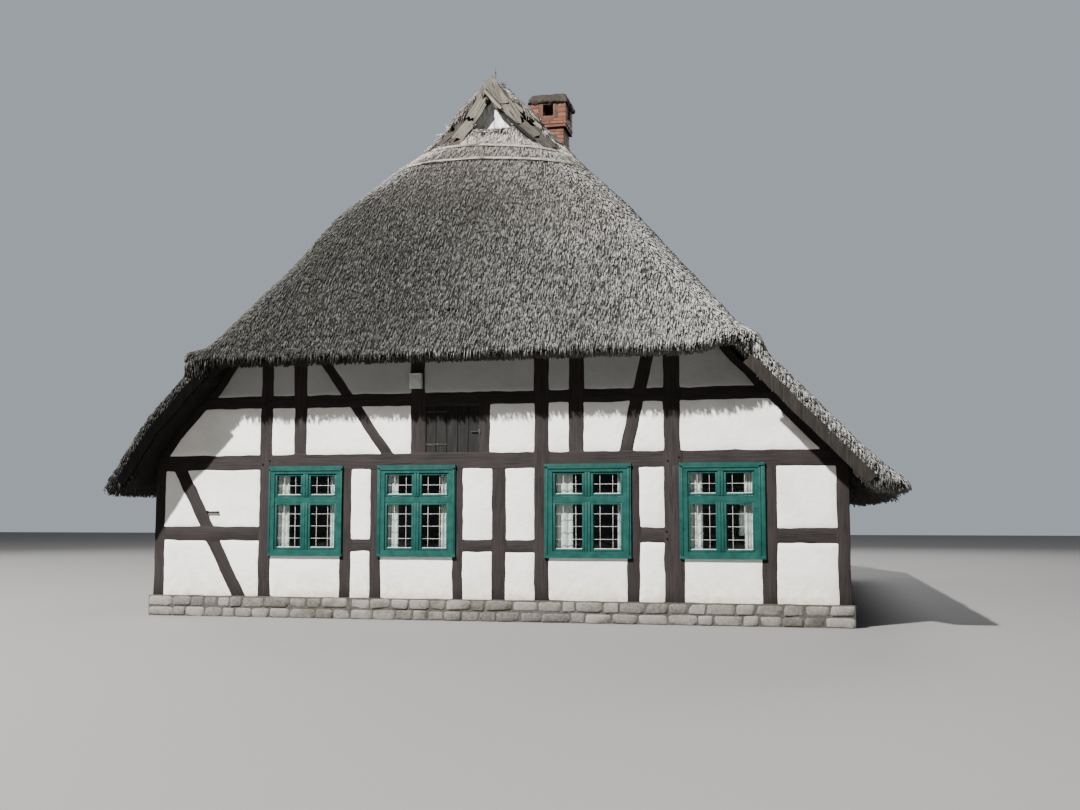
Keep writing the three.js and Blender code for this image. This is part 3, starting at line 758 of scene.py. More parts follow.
def surface_samples(item, density, rng):
    """Points spread over the faces by a density for each, with their normals."""
    mesh = item.data
    mesh.calc_loop_triangles()
    corners = rows(mesh.loop_triangles, "vertices", np.int32)
    places = rows(mesh.vertices, "co")
    normals = rows(mesh.vertices, "normal")
    a, b, c = (places[corners[:, i]] for i in range(3))
    cross = np.cross(b - a, c - a)
    area = np.linalg.norm(cross, axis=1) / 2
    flat = cross / np.maximum(area[:, None] * 2, 1e-9)
    wanted = area * density((a + b + c) / 3, flat)
    total = int(wanted.sum())
    picked = rng.choice(len(corners), total, p=wanted / wanted.sum())
    u, v = rng.random((2, total, 1)).astype(np.float32)
    over = (u + v) > 1
    u, v = np.where(over, 1 - u, u), np.where(over, 1 - v, v)
    points = a[picked] + u * (b[picked] - a[picked]) + v * (c[picked] - a[picked])
    na, nb, nc = (normals[corners[picked, i]] for i in range(3))
    facing = na * (1 - u - v) + nb * u + nc * v
    facing /= np.maximum(np.linalg.norm(facing, axis=1, keepdims=True), 1e-9)
    return points, facing


def fall_lines(facing):
    """The direction that water runs down each sloping point."""
    down = np.array([0.0, 0.0, -1.0], np.float32)
    fall = down - facing * (facing @ down)[:, None]
    return fall / np.maximum(np.linalg.norm(fall, axis=1, keepdims=True), 1e-6)


def tuft_matrices(points, facing, along, rng, length, width, lift, sink):
    """Places for tufts: lying along the given lines, with the butt end lifted a little."""
    count = len(points)
    across = np.cross(facing, along)
    across /= np.maximum(np.linalg.norm(across, axis=1, keepdims=True), 1e-6)
    turn = rng.normal(0, 0.085, (count, 1))
    along, across = (along * np.cos(turn) + across * np.sin(turn),
                     across * np.cos(turn) - along * np.sin(turn))
    long = length * rng.uniform(0.6, 1.35, (count, 1))
    wide = width * rng.uniform(0.55, 1.4, (count, 1))
    high = np.minimum(wide, 0.028) * rng.uniform(0.35, 0.7, (count, 1))
    raised = facing * (lift * rng.uniform(0.2, 1.3, (count, 1)))
    made = np.zeros((count, 4, 4), np.float32)
    made[:, :3, 0] = across * wide
    made[:, :3, 1] = along * long + raised
    made[:, :3, 2] = facing * high
    made[:, :3, 3] = points - facing * sink - along * long * 0.5
    made[:, 3, 3] = 1
    return made


def reed_template():
    """One tuft of reed: a three-sided point, closed at its butt end."""
    bpy.ops.object.select_all(action="DESELECT")
    bpy.ops.mesh.primitive_cone_add(vertices=3, radius1=0.577, radius2=0, depth=1.0,
                                    rotation=ACROSS)
    item = bpy.context.object
    bpy.ops.object.transform_apply(location=True, rotation=True, scale=True)
    with editing(item):
        bpy.ops.transform.resize(value=(1, 1, 1 / 0.866))
        bpy.ops.transform.translate(value=(0, 0.5, 0.333))
    return item


def tones_at(points, rng):
    """A tone for each tuft: random, but in patches as the weather leaves them."""
    broad = np.array([noise.noise(Vector(p) * 0.9) for p in points.tolist()], np.float32)
    fine = rng.random(len(points)).astype(np.float32)
    return np.clip(0.10 + 0.80 * fine + 0.25 * broad, 0, 1)


def within_hip(p):
    """Above a hip's eave and between its slanting sides."""
    return (p[:, 2] > HIP_FOOT) & (np.abs(p[:, 0] + 0.1) < 4.95 - (p[:, 2] - 3.9) * 0.62)


def near_street(p):
    """The hip over the street and the verges beside it, which are seen from close by."""
    return ((p[:, 1] < -HIP_START) & within_hip(p)) | (p[:, 1] < -6.7)


# What each piece of the slopes' reed takes of the tufts that the ones above it left.
ROOF_PARTS = {
    "front_hip_left_reeds": lambda p: near_street(p) & (p[:, 0] < 0),
    "front_hip_right_reeds": near_street,
    "back_hip_reeds": lambda p: (p[:, 1] > HIP_START) & within_hip(p),
    "left_slope_reeds": lambda p: p[:, 0] < RIDGE_X,
    "right_slope_reeds": lambda p: p[:, 0] >= RIDGE_X,
}


def clear_of_boards(p):
    """Keeps the tufts off a narrow band beside the wind boards, so that dark gaps show."""
    free = np.ones(len(p), bool)
    at_gablet = (np.abs(p[:, 1]) > 5.3) & (p[:, 2] > 7.5)
    for (x0, z0), (x1, z1), wide, _, _ in GABLET_BOARDS:
        dx, dz = x1 - x0, z1 - z0
        share = ((p[:, 0] - x0) * dx + (p[:, 2] - z0) * dz) / (dx * dx + dz * dz)
        share = np.clip(share, 0, 1)
        away = np.hypot(p[:, 0] - x0 - share * dx, p[:, 2] - z0 - share * dz)
        free &= ~(at_gablet & (away < wide / 2 + 0.03))
    return free


def beside_gablet(p):
    """The ragged thatch outside the wind boards of both gablets."""
    left = -0.515 + (p[:, 2] - 8.655) * 0.611
    right = -0.135 - (p[:, 2] - 8.565) * 0.961
    high = (np.abs(p[:, 1]) > HIP_START) & (p[:, 2] > 7.8)
    return high & ((p[:, 0] < left) | (p[:, 0] > right))


def reed_edges(p, n):
    """The cut butts under the eaves and along the verges."""
    eaves = (n[:, 2] < 0.12) & ((p[:, 2] < 2.25) | (
        (np.abs(p[:, 1]) > OVERHANG) & (p[:, 2] > 3.65) & (p[:, 2] < 4.3)))
    verges = (np.abs(n[:, 1]) > 0.75) & (np.abs(p[:, 1]) > 7.5) & (p[:, 2] < 4.0)
    return eaves | verges


def slope_reeds(coat, template, rng):
    """Tufts over the slopes, as a piece for each part of the roof, with the tufts' places and the
    ways that they face. Those at the crown are long and fresh; those outside the wind boards are
    ragged, and most of them are darkened as painted shade in the gaps."""
    size = sizes()
    far = size.far_scale

    def density(p, n):
        return size.reeds_per_m2 * np.where(near_street(p), 1.0, 1 / far ** 2) * (n[:, 2] > 0.12)
    top, facing = surface_samples(coat, density, rng)
    free = clear_of_boards(top)
    top, facing = top[free], facing[free]
    scale = np.where(near_street(top), 1.0, far)[:, None]
    crown = (np.abs(top[:, 1]) > HIP_START) & (top[:, 2] > 7.35)
    ragged = beside_gablet(top)
    long = np.where(crown, 2.2, 1.0)[:, None]
    lift = np.where(ragged, 0.05, 0.020)[:, None]
    made = tuft_matrices(top, facing, fall_lines(facing), rng, size.reed_length * scale * long,
                         size.reed_width * scale / long ** 0.5, lift, 0.008)
    tones = tones_at(top, rng)
    tones[crown] = np.clip(tones[crown] + 0.14 + 0.22 * (top[crown, 2] > 7.75), 0, 1)
    tones[crown] *= np.where(rng.random(int(crown.sum())) < 0.3, 0.3, 1.0)
    # Most ragged tufts are darkened as painted shade in the gaps beside the wind boards.
    tones[ragged] *= np.where(rng.random(int(ragged.sum())) < 0.65, 0.15, 0.8)
    pieces = []
    left = np.ones(len(top), bool)
    for name, belongs in ROOF_PARTS.items():
        mine = belongs(top) & left
        left &= ~mine
        pieces.append(scattered(name, template, made[mine], tones[mine]))
    return pieces, top, facing


def eave_reeds(coat, template, rng, top, top_facing):
    """Butts hanging out along every edge, in the line of the tufts above them; those over
    the gable walls hang down as a fringe."""
    size = sizes()
    edge, edge_facing = surface_samples(
        coat, lambda p, n: np.where(p[:, 1] < -5.0, 950.0, 260.0) * reed_edges(p, n), rng)
    facing = top_facing[nearest_places(edge, top)]
    scale = np.where(edge[:, 1] < -5.0, 1.0, size.far_scale)[:, None]
    lines = fall_lines(facing)
    hips = edge[:, 2] > HIP_FOOT
    fringe = hips & (np.abs(edge[:, 1]) > OVERHANG) & (edge_facing[:, 2] > -0.5)
    lines[fringe] = 0.4 * lines[fringe] + (0.0, 0.0, -0.6)
    lines /= np.linalg.norm(lines, axis=1, keepdims=True)
    hung = tuft_matrices(edge, facing, lines, rng,
                         size.reed_length * 1.1 * scale, size.reed_width * scale, 0.006, 0.0)
    hung[fringe, 2, 3] -= 0.025
    # Tufts on the undersides are drawn much darker, and those on the verges and low eaves darker, as
    # painted shade.
    shaded = np.where(edge_facing[:, 2] < -0.5, 0.15, np.where(hips, 0.95, 0.55))
    return scattered("eave_reeds", template, hung, tones_at(edge, rng) * shaded)


def nearest_places(points, others):
    """For each point, the number of the nearest other point."""
    tree = KDTree(len(others))
    for i, place in enumerate(others.tolist()):
        tree.insert(place, i)
    tree.balance()
    return np.array([tree.find(place)[1] for place in points.tolist()])


class COTTAGE_OT_thatch(bpy.types.Operator):
    """Lay the reed thatch over the whole roof"""

    bl_idname = "cottage.thatch"
    bl_label = "Thatch"

    def execute(self, context):
        rng = np.random.default_rng(7)
        coat = thatch_coat()
        reed = weathered_reed()
        template = reed_template()
        pieces, top, facing = slope_reeds(coat, template, rng)
        for piece in [*pieces, eave_reeds(coat, template, rng, top, facing)]:
            dressed(piece, reed, smooth=False)
        removed(template)
        # The coat under the tufts gets a much darker copy of the reed, as painted shade.
        dressed(coat, packed_reed(), ROOF_NODES)
        return {"FINISHED"}


# Walls. A wall is built flat: x runs along it, y = 0 is its outer face and y grows into
# the house. Its matrix then stands it in place.

def wall_matrix(name):
    """Stands a wall that was built flat in its place."""
    turn = {"front": 0, "back": 180, "left": -90, "right": 90}[name]
    foot = {"front": (0, FRONT_FACE, 0), "back": (0, BACK_FACE, 0),
            "left": (WALL_LEFT, 0, 0), "right": (WALL_RIGHT, 0, 0)}[name]
    return Matrix.Translation(foot) @ Matrix.Rotation(math.radians(turn), 4, "Z")


def beam(low, high, upright, seed):
    """One oak timber with its grain stored along its length."""
    item = block(low, high)
    shift = random.Random(seed).uniform(0, 40)
    grain = []
    for v in item.data.vertices:
        x, y, z = v.co
        grain.append((x, y, z + shift) if upright else (z, y, x + shift))
    set_numbers(item, "grain", grain, "FLOAT_VECTOR")
    return item


def slanted(item, foot_x, head_x, z):
    """Leans an upright timber so that its ends stand over two places."""
    middle = (foot_x + head_x) / 2
    for v in item.data.vertices:
        share = (v.co.z - z[0]) / (z[1] - z[0])
        v.co.x += foot_x + (head_x - foot_x) * share - middle
    item.data.update()
    return item


def gable_timbers(side):
    """Timbers of a gable wall; side -1 mirrors them. Each is a kind, its place and how far
    it stands back, so that the long timbers run through and the short ones butt on them."""
    def spread(x0, x1):
        return tuple(sorted((side * x0, side * x1)))
    found = [("post", *spread(*p), GROUND_Z, TOP_Z, 0.0) for p in TALL_POSTS]
    low_top, high_foot = MID_RAIL[0] + POST_LAP, MID_RAIL[1] - POST_LAP
    found += [("post", *spread(*p), GROUND_Z, low_top, 0.0016) for p in LOW_POSTS]
    found += [("post", *spread(*p), high_foot, TOP_Z, 0.0016) for p in HIGH_POSTS]
    found += [("post", *spread(*HATCH_POST), high_foot, HIGH_RAIL[0] + POST_LAP, 0.0022)]
    found += [("rail", *spread(WALL_LEFT, WALL_RIGHT), *MID_RAIL, 0.0008),
              ("rail", *spread(*HIGH_RAIL_X), *HIGH_RAIL, 0.0024)]
    found += [("rail", *spread(*r[:2]), *r[2:], 0.0024) for r in SHORT_RAILS]
    found += [("brace", side * b[0], side * b[1], *b[2:], 0.0032) for b in BRACES]
    middle, wide, back = POST_CHEEK
    found += [("brace", side * middle, side * middle, wide, GROUND_Z, MID_RAIL[0] + 0.02, back)]
    return found


def side_timbers():
    """Timbers of a long wall, in equal bays."""
    half = BACK_FACE - WALL_THICK
    bay = 2 * half / SIDE_BAYS
    centres = [max(SIDE_POST / 2 - half, min(half - SIDE_POST / 2, i * bay - half))
               for i in range(SIDE_BAYS + 1)]
    found = [("post", c - SIDE_POST / 2, c + SIDE_POST / 2, GROUND_Z, SIDE_PLATE_Z[1], 0.0)
             for c in centres]
    found.append(("rail", -half, half, *SIDE_PLATE_Z, 0.0012))
    for i in range(SIDE_BAYS):
        found.append(("rail", centres[i], centres[i + 1], *SIDE_RAIL, 0.0024))
    return found


def timber_wall(name, timbers):
    """The faces of a wall's timbers, wide enough to pass under the plaster's edge."""
    under = 0.014
    deep = 0.05
    items = []
    for i, (kind, *place, back) in enumerate(timbers):
        face = back - TIMBER_PROUD
        seed = name + str(i)
        if kind == "post":
            x0, x1, z0, z1 = place
            items.append(beam((x0 - under, face, z0), (x1 + under, deep, z1), True, seed))
        elif kind == "rail":
            x0, x1, z0, z1 = place
            items.append(beam((x0, face, z0 - under), (x1, deep, z1 + under), False, seed))
        else:
            foot, head, wide, z0, z1 = place
            reach = wide / 2 + under
            middle = (foot + head) / 2
            item = beam((middle - reach, face, z0), (middle + reach, deep, z1), True, seed)
            items.append(slanted(item, foot, head, (z0, z1)))
    wall = joined(name + "_timbers", items)
    grid_cut(wall, 0, 0.35)
    grid_cut(wall, 2, 0.2)
    chamfered(wall, sizes().timber_chamfer)
    return wall


def pegs(name, timbers, rng):
    """Oak pegs where a rail ends on a post or crosses a tall one."""
    template = pin(0.015, 0.03, (0, 0, 0), ACROSS, edge=0.003)
    posts = [t for t in timbers if t[0] == "post"]
    rails = [t for t in timbers if t[0] == "rail"]
    places = []
    for _, x0, x1, z0, z1, _ in posts:
        tall = z1 - z0 > 3 and not x0 < UNPEGGED_X < x1
        if name in ("front", "back") and not tall:
            continue
        for _, r0, r1, low, high, _ in rails:
            middle = (x0 + x1) / 2
            if r0 - 0.05 < middle < r1 + 0.05 and low > z0 - 0.2 and high < z1 + 0.2:
                through = r0 < x0 - 0.3 and r1 > x1 + 0.3
                if through and not tall:
                    continue
                inner = x1 - 0.035 if (r0 + r1) / 2 > middle else x0 + 0.035
                for side in (-1, 1):
                    x = middle + side * (x1 - x0) * 0.3 if through else inner
                    z = (low + high) / 2 + side * (0.025 if through else 0.058)
                    x, z = x + rng.uniform(-0.01, 0.01), z + rng.uniform(-0.01, 0.01)
                    places.append(Matrix.Translation((x, 0.002 - TIMBER_PROUD, z)))
    item = scattered(name + "_pegs", template, places, [rng.random() for _ in places])
    removed(template)
    return item


def face_width(item, face):
    """How far a face reaches along x."""
    places = [item.data.vertices[i].co.x for i in face.vertices]
    return max(places) - min(places)


def plaster_wall(name, matrix):
    """The plaster panels, laid over the timbers' edges by hand."""
    item = node_copy(name + "_infill", name + "_plaster")
    moved(item, matrix.inverted())
    with editing(item, lambda f: not (f.normal.y < -0.9 and f.center.y < 0.03)):
        bpy.ops.mesh.delete(type="FACE")
    with editing(item):
        bpy.ops.mesh.dissolve_limited(angle_limit=math.radians(2))
    with editing(item, lambda f: face_width(item, f) < 0.08):
        bpy.ops.mesh.delete(type="FACE")
    item.data.update()
    depth = sum(v.co.y for v in item.data.vertices) / len(item.data.vertices)
    moved(item, Matrix.Translation((0, -PLASTER_PROUD - depth, 0)))
    with editing(item):
        bpy.ops.mesh.select_mode(type="VERT")
        bpy.ops.mesh.bevel(offset=0.02, segments=3, affect="VERTICES")
    grid_cut(item, 0, 0.13)
    grid_cut(item, 2, 0.13)
    return item


WALLS = ("front", "back", "left", "right")


class COTTAGE_OT_walls(bpy.types.Operator):
    """Build the oak timbers and the plaster panels of all four walls"""

    bl_idname = "cottage.walls"
    bl_label = "Timbers and plaster"

    def execute(self, context):
        oak = tarred_oak(True)
        lime = limewashed_plaster()
        dark_oak = plank_material("oak_peg", "#070505", "#110d0c", "#241e1c")
        wave = sizes().hand_made
        for name in WALLS:
            matrix = wall_matrix(name)
            side = -1 if name == "back" else 1
            layout = side_timbers() if name in ("left", "right") else gable_timbers(side)
            timbers = timber_wall(name, layout)
            plaster = plaster_wall(name, matrix)
            for item in (timbers, plaster):
                wander(item, wave, 0.5, "wall_wander", "X")
                wander(item, wave * 0.8, 0.45, "wall_sag", "Z")
            wander(plaster, wave * 0.75, 0.16, "plaster_edge", "XZ")
            wander(plaster, 0.006, 0.3, "plaster_swell", "Y")
            applied(plaster, "SOLIDIFY", thickness=0.014, offset=-1.0)
            chamfered(plaster, 0.004)
            dressed(moved(timbers, matrix), oak)
            dressed(moved(pegs(name, layout, random.Random(name)), matrix), dark_oak)
            dressed(moved(plaster, matrix), lime)
        painted([n + "_frame" for n in WALLS], tarred_oak(False))
        painted([n + "_infill" for n in WALLS], lime)
        return {"FINISHED"}


# Windows.

def sash(x, z, wide, deep):
    """Four rails of one casement, round a light."""
    y0, y1 = deep
    return [
        softened((x[0], y0, z[0]), (x[0] + wide, y1, z[1])),
        softened((x[1] - wide, y0, z[0]), (x[1], y1, z[1])),
        softened((x[0] + wide, y0, z[0]), (x[1] - wide, y1, z[0] + wide)),
        softened((x[0] + wide, y0, z[1] - wide), (x[1] - wide, y1, z[1])),
    ]


def glazing(x, z, columns, rows, deep):
    """Glazing bars over one light at these shares of it, and the white bead at its foot."""
    y0, y1 = deep
    half = BAR_WIDE / 2
    items = []
    for share in columns:
        at = x[0] + (x[1] - x[0]) * share
        items.append(softened((at - half, y0, z[0]), (at + half, y1, z[1]), 0.0015))
    for share in rows:
        at = z[0] + (z[1] - z[0]) * share
        items.append(softened((x[0], y0 + 0.001, at - half), (x[1], y1 - 0.001, at + half), 0.0015))
    items.append(softened((x[0], y0, z[0] - 0.004), (x[1], y1, z[0] + 0.008), 0.002))
    return items


def window_lights(hole, hole_z):
    """The four openings between a window's lining and its cross."""
    middle = (hole[0] + hole[1]) / 2
    transom = hole_z[0] + (hole_z[1] - hole_z[0]) * TRANSOM_UP
    left = (hole[0] + JOINERY_WIDE, middle - CROSS_WIDE / 2)
    right = (middle + CROSS_WIDE / 2, hole[1] - JOINERY_WIDE)
    low = (hole_z[0] + JOINERY_WIDE, transom - CROSS_WIDE / 2)
    high = (transom + CROSS_WIDE / 2, hole_z[1] - JOINERY_WIDE)
    return [(left, low), (right, low), (left, high), (right, high)]


def window_template(name, hole, hole_z, outer, outer_z):
    """Painted joinery and white glazing of one window, modelled once."""
    play = 0.002
    green, white = [], []
    for x, z in window_lights(hole, hole_z):
        x, z = (x[0] + play, x[1] - play), (z[0] + play, z[1] - play)
        green += sash(x, z, SASH_WIDE, (-0.016, 0.017))
        inner = ((x[0] + SASH_WIDE, x[1] - SASH_WIDE), (z[0] + SASH_WIDE, z[1] - SASH_WIDE))
        columns = (0.29, 0.76) if x[0] < 0 else (0.24, 0.71)
        rows = (0.215, 0.505, 0.79) if z[1] - z[0] > 0.5 else (0.49,)
        white += glazing(*inner, columns, rows, (0.006, 0.018))
        inside = (-0.041, -0.003) if x[0] < 0 else (0.003, 0.041)
        green.append(softened((inside[0], -0.028, z[0]), (inside[1], -0.019, z[1])))
    face, rim, ledge = -0.032, 0.024, 0.045
    front = face - 0.010
    low, high = outer_z
    for x0, x1 in ((outer[0], outer[0] + rim), (outer[1] - rim, outer[1])):
        green.append(softened((x0, front, low + ledge), (x1, face, high - ledge)))
    green.append(softened((outer[0], front, high - 0.075), (outer[1], face, high - 0.046)))
    z, nails = low + 0.12, []
    while z < high - 0.1:
        nails += [pin(0.005, 0.008, (side * (outer[1] - 0.042), face - 0.002, z), ACROSS)
                  for side in (-1, 1)]
        z += NAIL_STEP
    return (joined(name + "_joinery", green), joined(name + "_bars", white),
            joined(name + "_nails", nails))


# Casings that reach farther over the posts beside them: left and right, in metres.
WIDE_CASINGS = {"front_window_2": (0.03, 0.0), "front_window_4": (0.03, 0.065)}


def casing_ends(hole, hole_z, reach):
    """Boards that widen a window's casing over the posts."""
    over, face, ledge = 0.031, -0.033, -0.0435
    low, high = hole_z[0] - 0.04, hole_z[1] + 0.06
    left = (hole[0] - over - reach[0], hole[0] - over + 0.002)
    right = (hole[1] + over - 0.002, hole[1] + over + reach[1])
    items = []
    for (x0, x1), wanted in zip((left, right), reach):
        if wanted:
            items += [softened((x0, face, low + 0.044), (x1, 0.0, high - 0.045)),
                      softened((x0, ledge, low + 0.001), (x1, 0.0, low + 0.045)),
                      softened((x0, ledge, high - 0.046), (x1, 0.0, high - 0.001))]
    return items


def copied(template, name, matrix):
    """A copy of the template with a mesh of its own, in its place."""
    item = bpy.data.objects.new(name, template.data.copy())
    bpy.context.scene.collection.objects.link(item)
    return moved(item, matrix)


def side_hole(bay):
    """Where a bay of a long wall is free between its posts."""
    half = BACK_FACE - WALL_THICK - 0.0003
    wide = 2 * half / SIDE_BAYS
    start = -half + bay * wide
    return (start + SIDE_POST / 2, start + wide - SIDE_POST / 2)


def window_list():
    """Name, wall, hole and heights of every window."""
    found = []
    for i, hole in enumerate(GABLE_HOLES):
        found.append((f"front_window_{i + 1}", "front", hole, GABLE_HOLE_Z))
    for i, hole in enumerate((GABLE_HOLES[0], GABLE_HOLES[3])):
        found.append((f"back_window_{i + 1}", "back", (-hole[1], -hole[0]), GABLE_HOLE_Z))
    for wall in ("left", "right"):
        for i, bay in enumerate((2, 7)):
            found.append((f"{wall}_window_{i + 1}", wall, side_hole(bay), SIDE_HOLE_Z))
    return found


# How much of its hole each curtain of the street windows covers: left one, right one.
CURTAINS = ((0.21, 0.15), (0.19, 0.16), (0.27, 0.11), (0.22, 0.165))


def curtain(name, start, wide, z, folds, matrix):
    """One gathered net curtain hanging behind the glass, and the width that it was cut to."""
    bpy.ops.object.select_all(action="DESELECT")
    bpy.ops.mesh.primitive_grid_add(x_subdivisions=60, y_subdivisions=6, size=1)
    item = bpy.context.object
    for v in item.data.vertices:
        u, t = v.co.x + 0.5, v.co.y + 0.5
        wave = 0.012 * math.sin(u * folds * 2 * math.pi) + 0.004 * math.sin(u * 17 + start * 5)
        v.co = (start + wide * u, CURTAIN_BACK + wave, z[0] + (z[1] - z[0]) * t)
    item.name = name
    item.data.update()
    cut = sum(face.area for face in item.data.polygons) / (z[1] - z[0])
    return moved(item, matrix), cut


def curtain_rod(name, hole, z, matrix):
    """A thin iron rod across the reveal, with a stop at each end."""
    (x0, x1), end = hole, 0.01
    parts = ((x0 - end, x1 + end, 0.005), (x0, x0 + end, 0.014), (x1 - end, x1, 0.014))
    items = [pin(radius, b - a, ((a + b) / 2, CURTAIN_BACK, z), ALONG, 12, 0.0015)
             for a, b, radius in parts]
    return moved(joined(name, items), matrix)


class COTTAGE_OT_windows(bpy.types.Operator):
    """Fit the casements, glazing bars and net curtains"""

    bl_idname = "cottage.windows"
    bl_label = "Windows"

    def execute(self, context):
        paint = oil_paint("blue_green_oil_paint", tuple(colours().paint), 0.55)
        white = oil_paint("white_oil_paint", linear("#cfcec8"), 0.45)
        cotton = net_cotton()
        iron = forged_iron()
        built = {}
        for number, (name, wall, hole, hole_z) in enumerate(window_list()):
            kind = "gable" if hole_z == GABLE_HOLE_Z else "side"
            if kind not in built:
                half, over = TEMPLATE_HALF, TEMPLATE_HALF + 0.033
                outer_z = (hole_z[0] - 0.04, hole_z[1] + (0.06 if kind == "gable" else 0.04))
                built[kind] = window_template(kind, (-half, half), hole_z, (-over, over), outer_z)
            joinery, bars, nails = built[kind]
            matrix = wall_matrix(wall)
            fit = Matrix.Diagonal(((hole[1] - hole[0]) / (2 * TEMPLATE_HALF), 1, 1, 1))
            spot = matrix @ Matrix.Translation(((hole[0] + hole[1]) / 2, 0, 0)) @ fit
            frame_piece = copied(joinery, name + "_joinery", spot)
            if name in WIDE_CASINGS:
                ends = [moved(item, matrix) for item in casing_ends(hole, hole_z, WIDE_CASINGS[name])]
                frame_piece = joined(name + "_joinery", [frame_piece, *ends])
            dressed(frame_piece, paint)
            dressed(copied(bars, name + "_bars", spot), white)
            dressed(copied(nails, name + "_nails", spot), iron)
            top = hole_z[1] - 0.07
            rod = dressed(curtain_rod(name + "_rod", hole, top, matrix), iron)
            shares = CURTAINS[number % len(CURTAINS)]
            for i, (start, share) in enumerate((
                    (hole[0] + 0.03, shares[0]), (hole[1] - 0.03, -shares[1]))):
                reach = share * (hole[1] - hole[0])
                item, cut_to = curtain(
                    f"{name}_curtain_{i + 1}", min(start, start + reach), abs(reach),
                    (hole_z[0] + 0.06, top), 3 + i, matrix)
                dressed(item, cotton)
        for kind in built.values():
            for template in kind:
                removed(template)
        painted([w[0] for w in window_list()], paint)
        painted([w[0].replace("window", "pane") for w in window_list()], old_window_glass())
        return {"FINISHED"}


# Gablets, wind boards and laths.

# Boards of the street gablet as start (x, z), end (x, z), width, how far each lies back and how light
# it is drawn: mostly the wood's own lightness, but a few tones are painted highlight or painted
# shadow.
GABLET_BOARDS = (
    ((-0.450, 8.975), (-0.185, 8.53), 0.26, 0.0, 0.84),
    # A thin strip drawn light as a painted highlight, then a dark strip beside it as its painted
    # shadow.
    ((-0.535, 8.828), (-0.241, 8.496), 0.05, -0.03, 1.4),
    ((-0.495, 8.840), (-0.205, 8.512), 0.03, -0.016, 0.12),
    ((-0.425, 9.02), (-0.60, 8.67), 0.11, 0.028, 0.7),
    ((-0.515, 8.655), (-0.754, 8.302), 0.20, 0.02, 0.98),
    ((-0.750, 8.295), (-0.970, 7.91), 0.19, 0.04, 0.88),
    ((-0.650, 8.62), (-0.790, 8.42), 0.10, 0.065, 0.5),
    ((-0.860, 8.33), (-1.030, 8.13), 0.10, 0.065, 0.3),
    ((-1.110, 8.06), (-1.290, 7.90), 0.10, 0.065, 0.42),
    ((-0.135, 8.565), (0.085, 8.23), 0.20, 0.02, 0.88),
    ((0.115, 8.20), (0.430, 7.90), 0.17, 0.04, 0.42),
    ((0.465, 7.875), (0.730, 7.665), 0.14, 0.05, 0.26),
    # A nearly black strip painted as the shade under the right-hand boards.
    ((-0.278, 8.476), (0.403, 7.819), 0.05, 0.06, 0.02),
    ((0.020, 8.56), (0.160, 8.40), 0.05, 0.06, 0.9),
    ((0.330, 8.235), (0.480, 8.09), 0.06, 0.06, 1.1),
    ((0.620, 7.98), (0.800, 7.83), 0.05, 0.06, 0.7),
)
# Limewashed wall behind the wind boards: its foot's two corners and its point, as (x, z).
GABLET_WALL = ((-1.20, 8.0), (0.44, 8.0), (-0.395, 8.68))
BOARD_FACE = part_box("front_wind_boards")[0].y
# Boards under the thatch's cut ends at the verges, as start and end (x, z).
VERGE_BOARDS = {
    "left": (((-5.79, 2.087), (-5.235, 2.925)), ((-5.285, 2.865), (-4.50, 3.70))),
    "right": (((5.60, 2.075), (3.95, 3.783)),),
}
VERGE_FACE = 7.822
# Bent laths that hold the hip's top down, as x and z of both ends and the rise between.
LATHS = ((-1.36, 7.72, 0.86, 7.53, 0.075), (-1.66, 7.36, 1.24, 7.23, 0.09))


def plank(start, end, wide, thick, y, seed, ragged, tone=1.0):
    """A board between two points (x, z) of a gable, with weather-torn ends; y gives how far back each
    end lies, and tone how light it is drawn, by its wood or, for a few boards, by painted light or
    shade."""
    dx, dz = end[0] - start[0], end[1] - start[1]
    long = math.hypot(dx, dz)
    item = block((-wide / 2, 0, 0), (wide / 2, thick, long))
    grid_cut(item, 2, 0.07)
    grid_cut(item, 0, 0.03)
    for v in item.data.vertices:
        if v.co.z < 0.001 or v.co.z > long - 0.001:
            v.co.z += ragged * noise.noise(Vector((v.co.x * 22, 3.7 * seed, v.co.z)))
        v.co.y += 0.012 * noise.noise(Vector((seed, v.co.x * 3, v.co.z * 4)))
        v.co.x += 0.012 * noise.noise(Vector((v.co.z * 5, seed, 0.5)))
    item.data.update()
    chamfered(item, 0.004, 1)
    shift = random.Random(seed).uniform(0, 40)
    set_numbers(item, "grain", [(v.co.x + shift, v.co.y, v.co.z) for v in item.data.vertices],
                "FLOAT_VECTOR")
    set_numbers(item, "tone", [tone] * len(item.data.vertices))
    for v in item.data.vertices:
        v.co.y += y[0] + (y[1] - y[0]) * v.co.z / long
    turn = Matrix.Rotation(math.atan2(dx, dz), 4, "Y")
    return moved(item, Matrix.Translation((start[0], 0, start[1])) @ turn)


def depth_at(tree, x, z, clear, otherwise):
    """How far back a board lies over the street's thatch, this clear of it."""
    hit = tree.ray_cast(Vector((x, -9, z)), Vector((0, 1, 0)))[0]
    return otherwise if hit is None else hit.y - clear


def laid_boards(tree):
    """The torn wind boards: in the gablet's plane above, and down over the thatch below."""
    items = []
    for i, (start, end, wide, back, tone) in enumerate(GABLET_BOARDS):
        depths = [min(BOARD_FACE + back, depth_at(tree, x, z, 0.045, 0.0)) for x, z in (start, end)]
        items.append(plank(start, end, wide, 0.028, depths, i + 1.0, 0.13, tone))
    return items


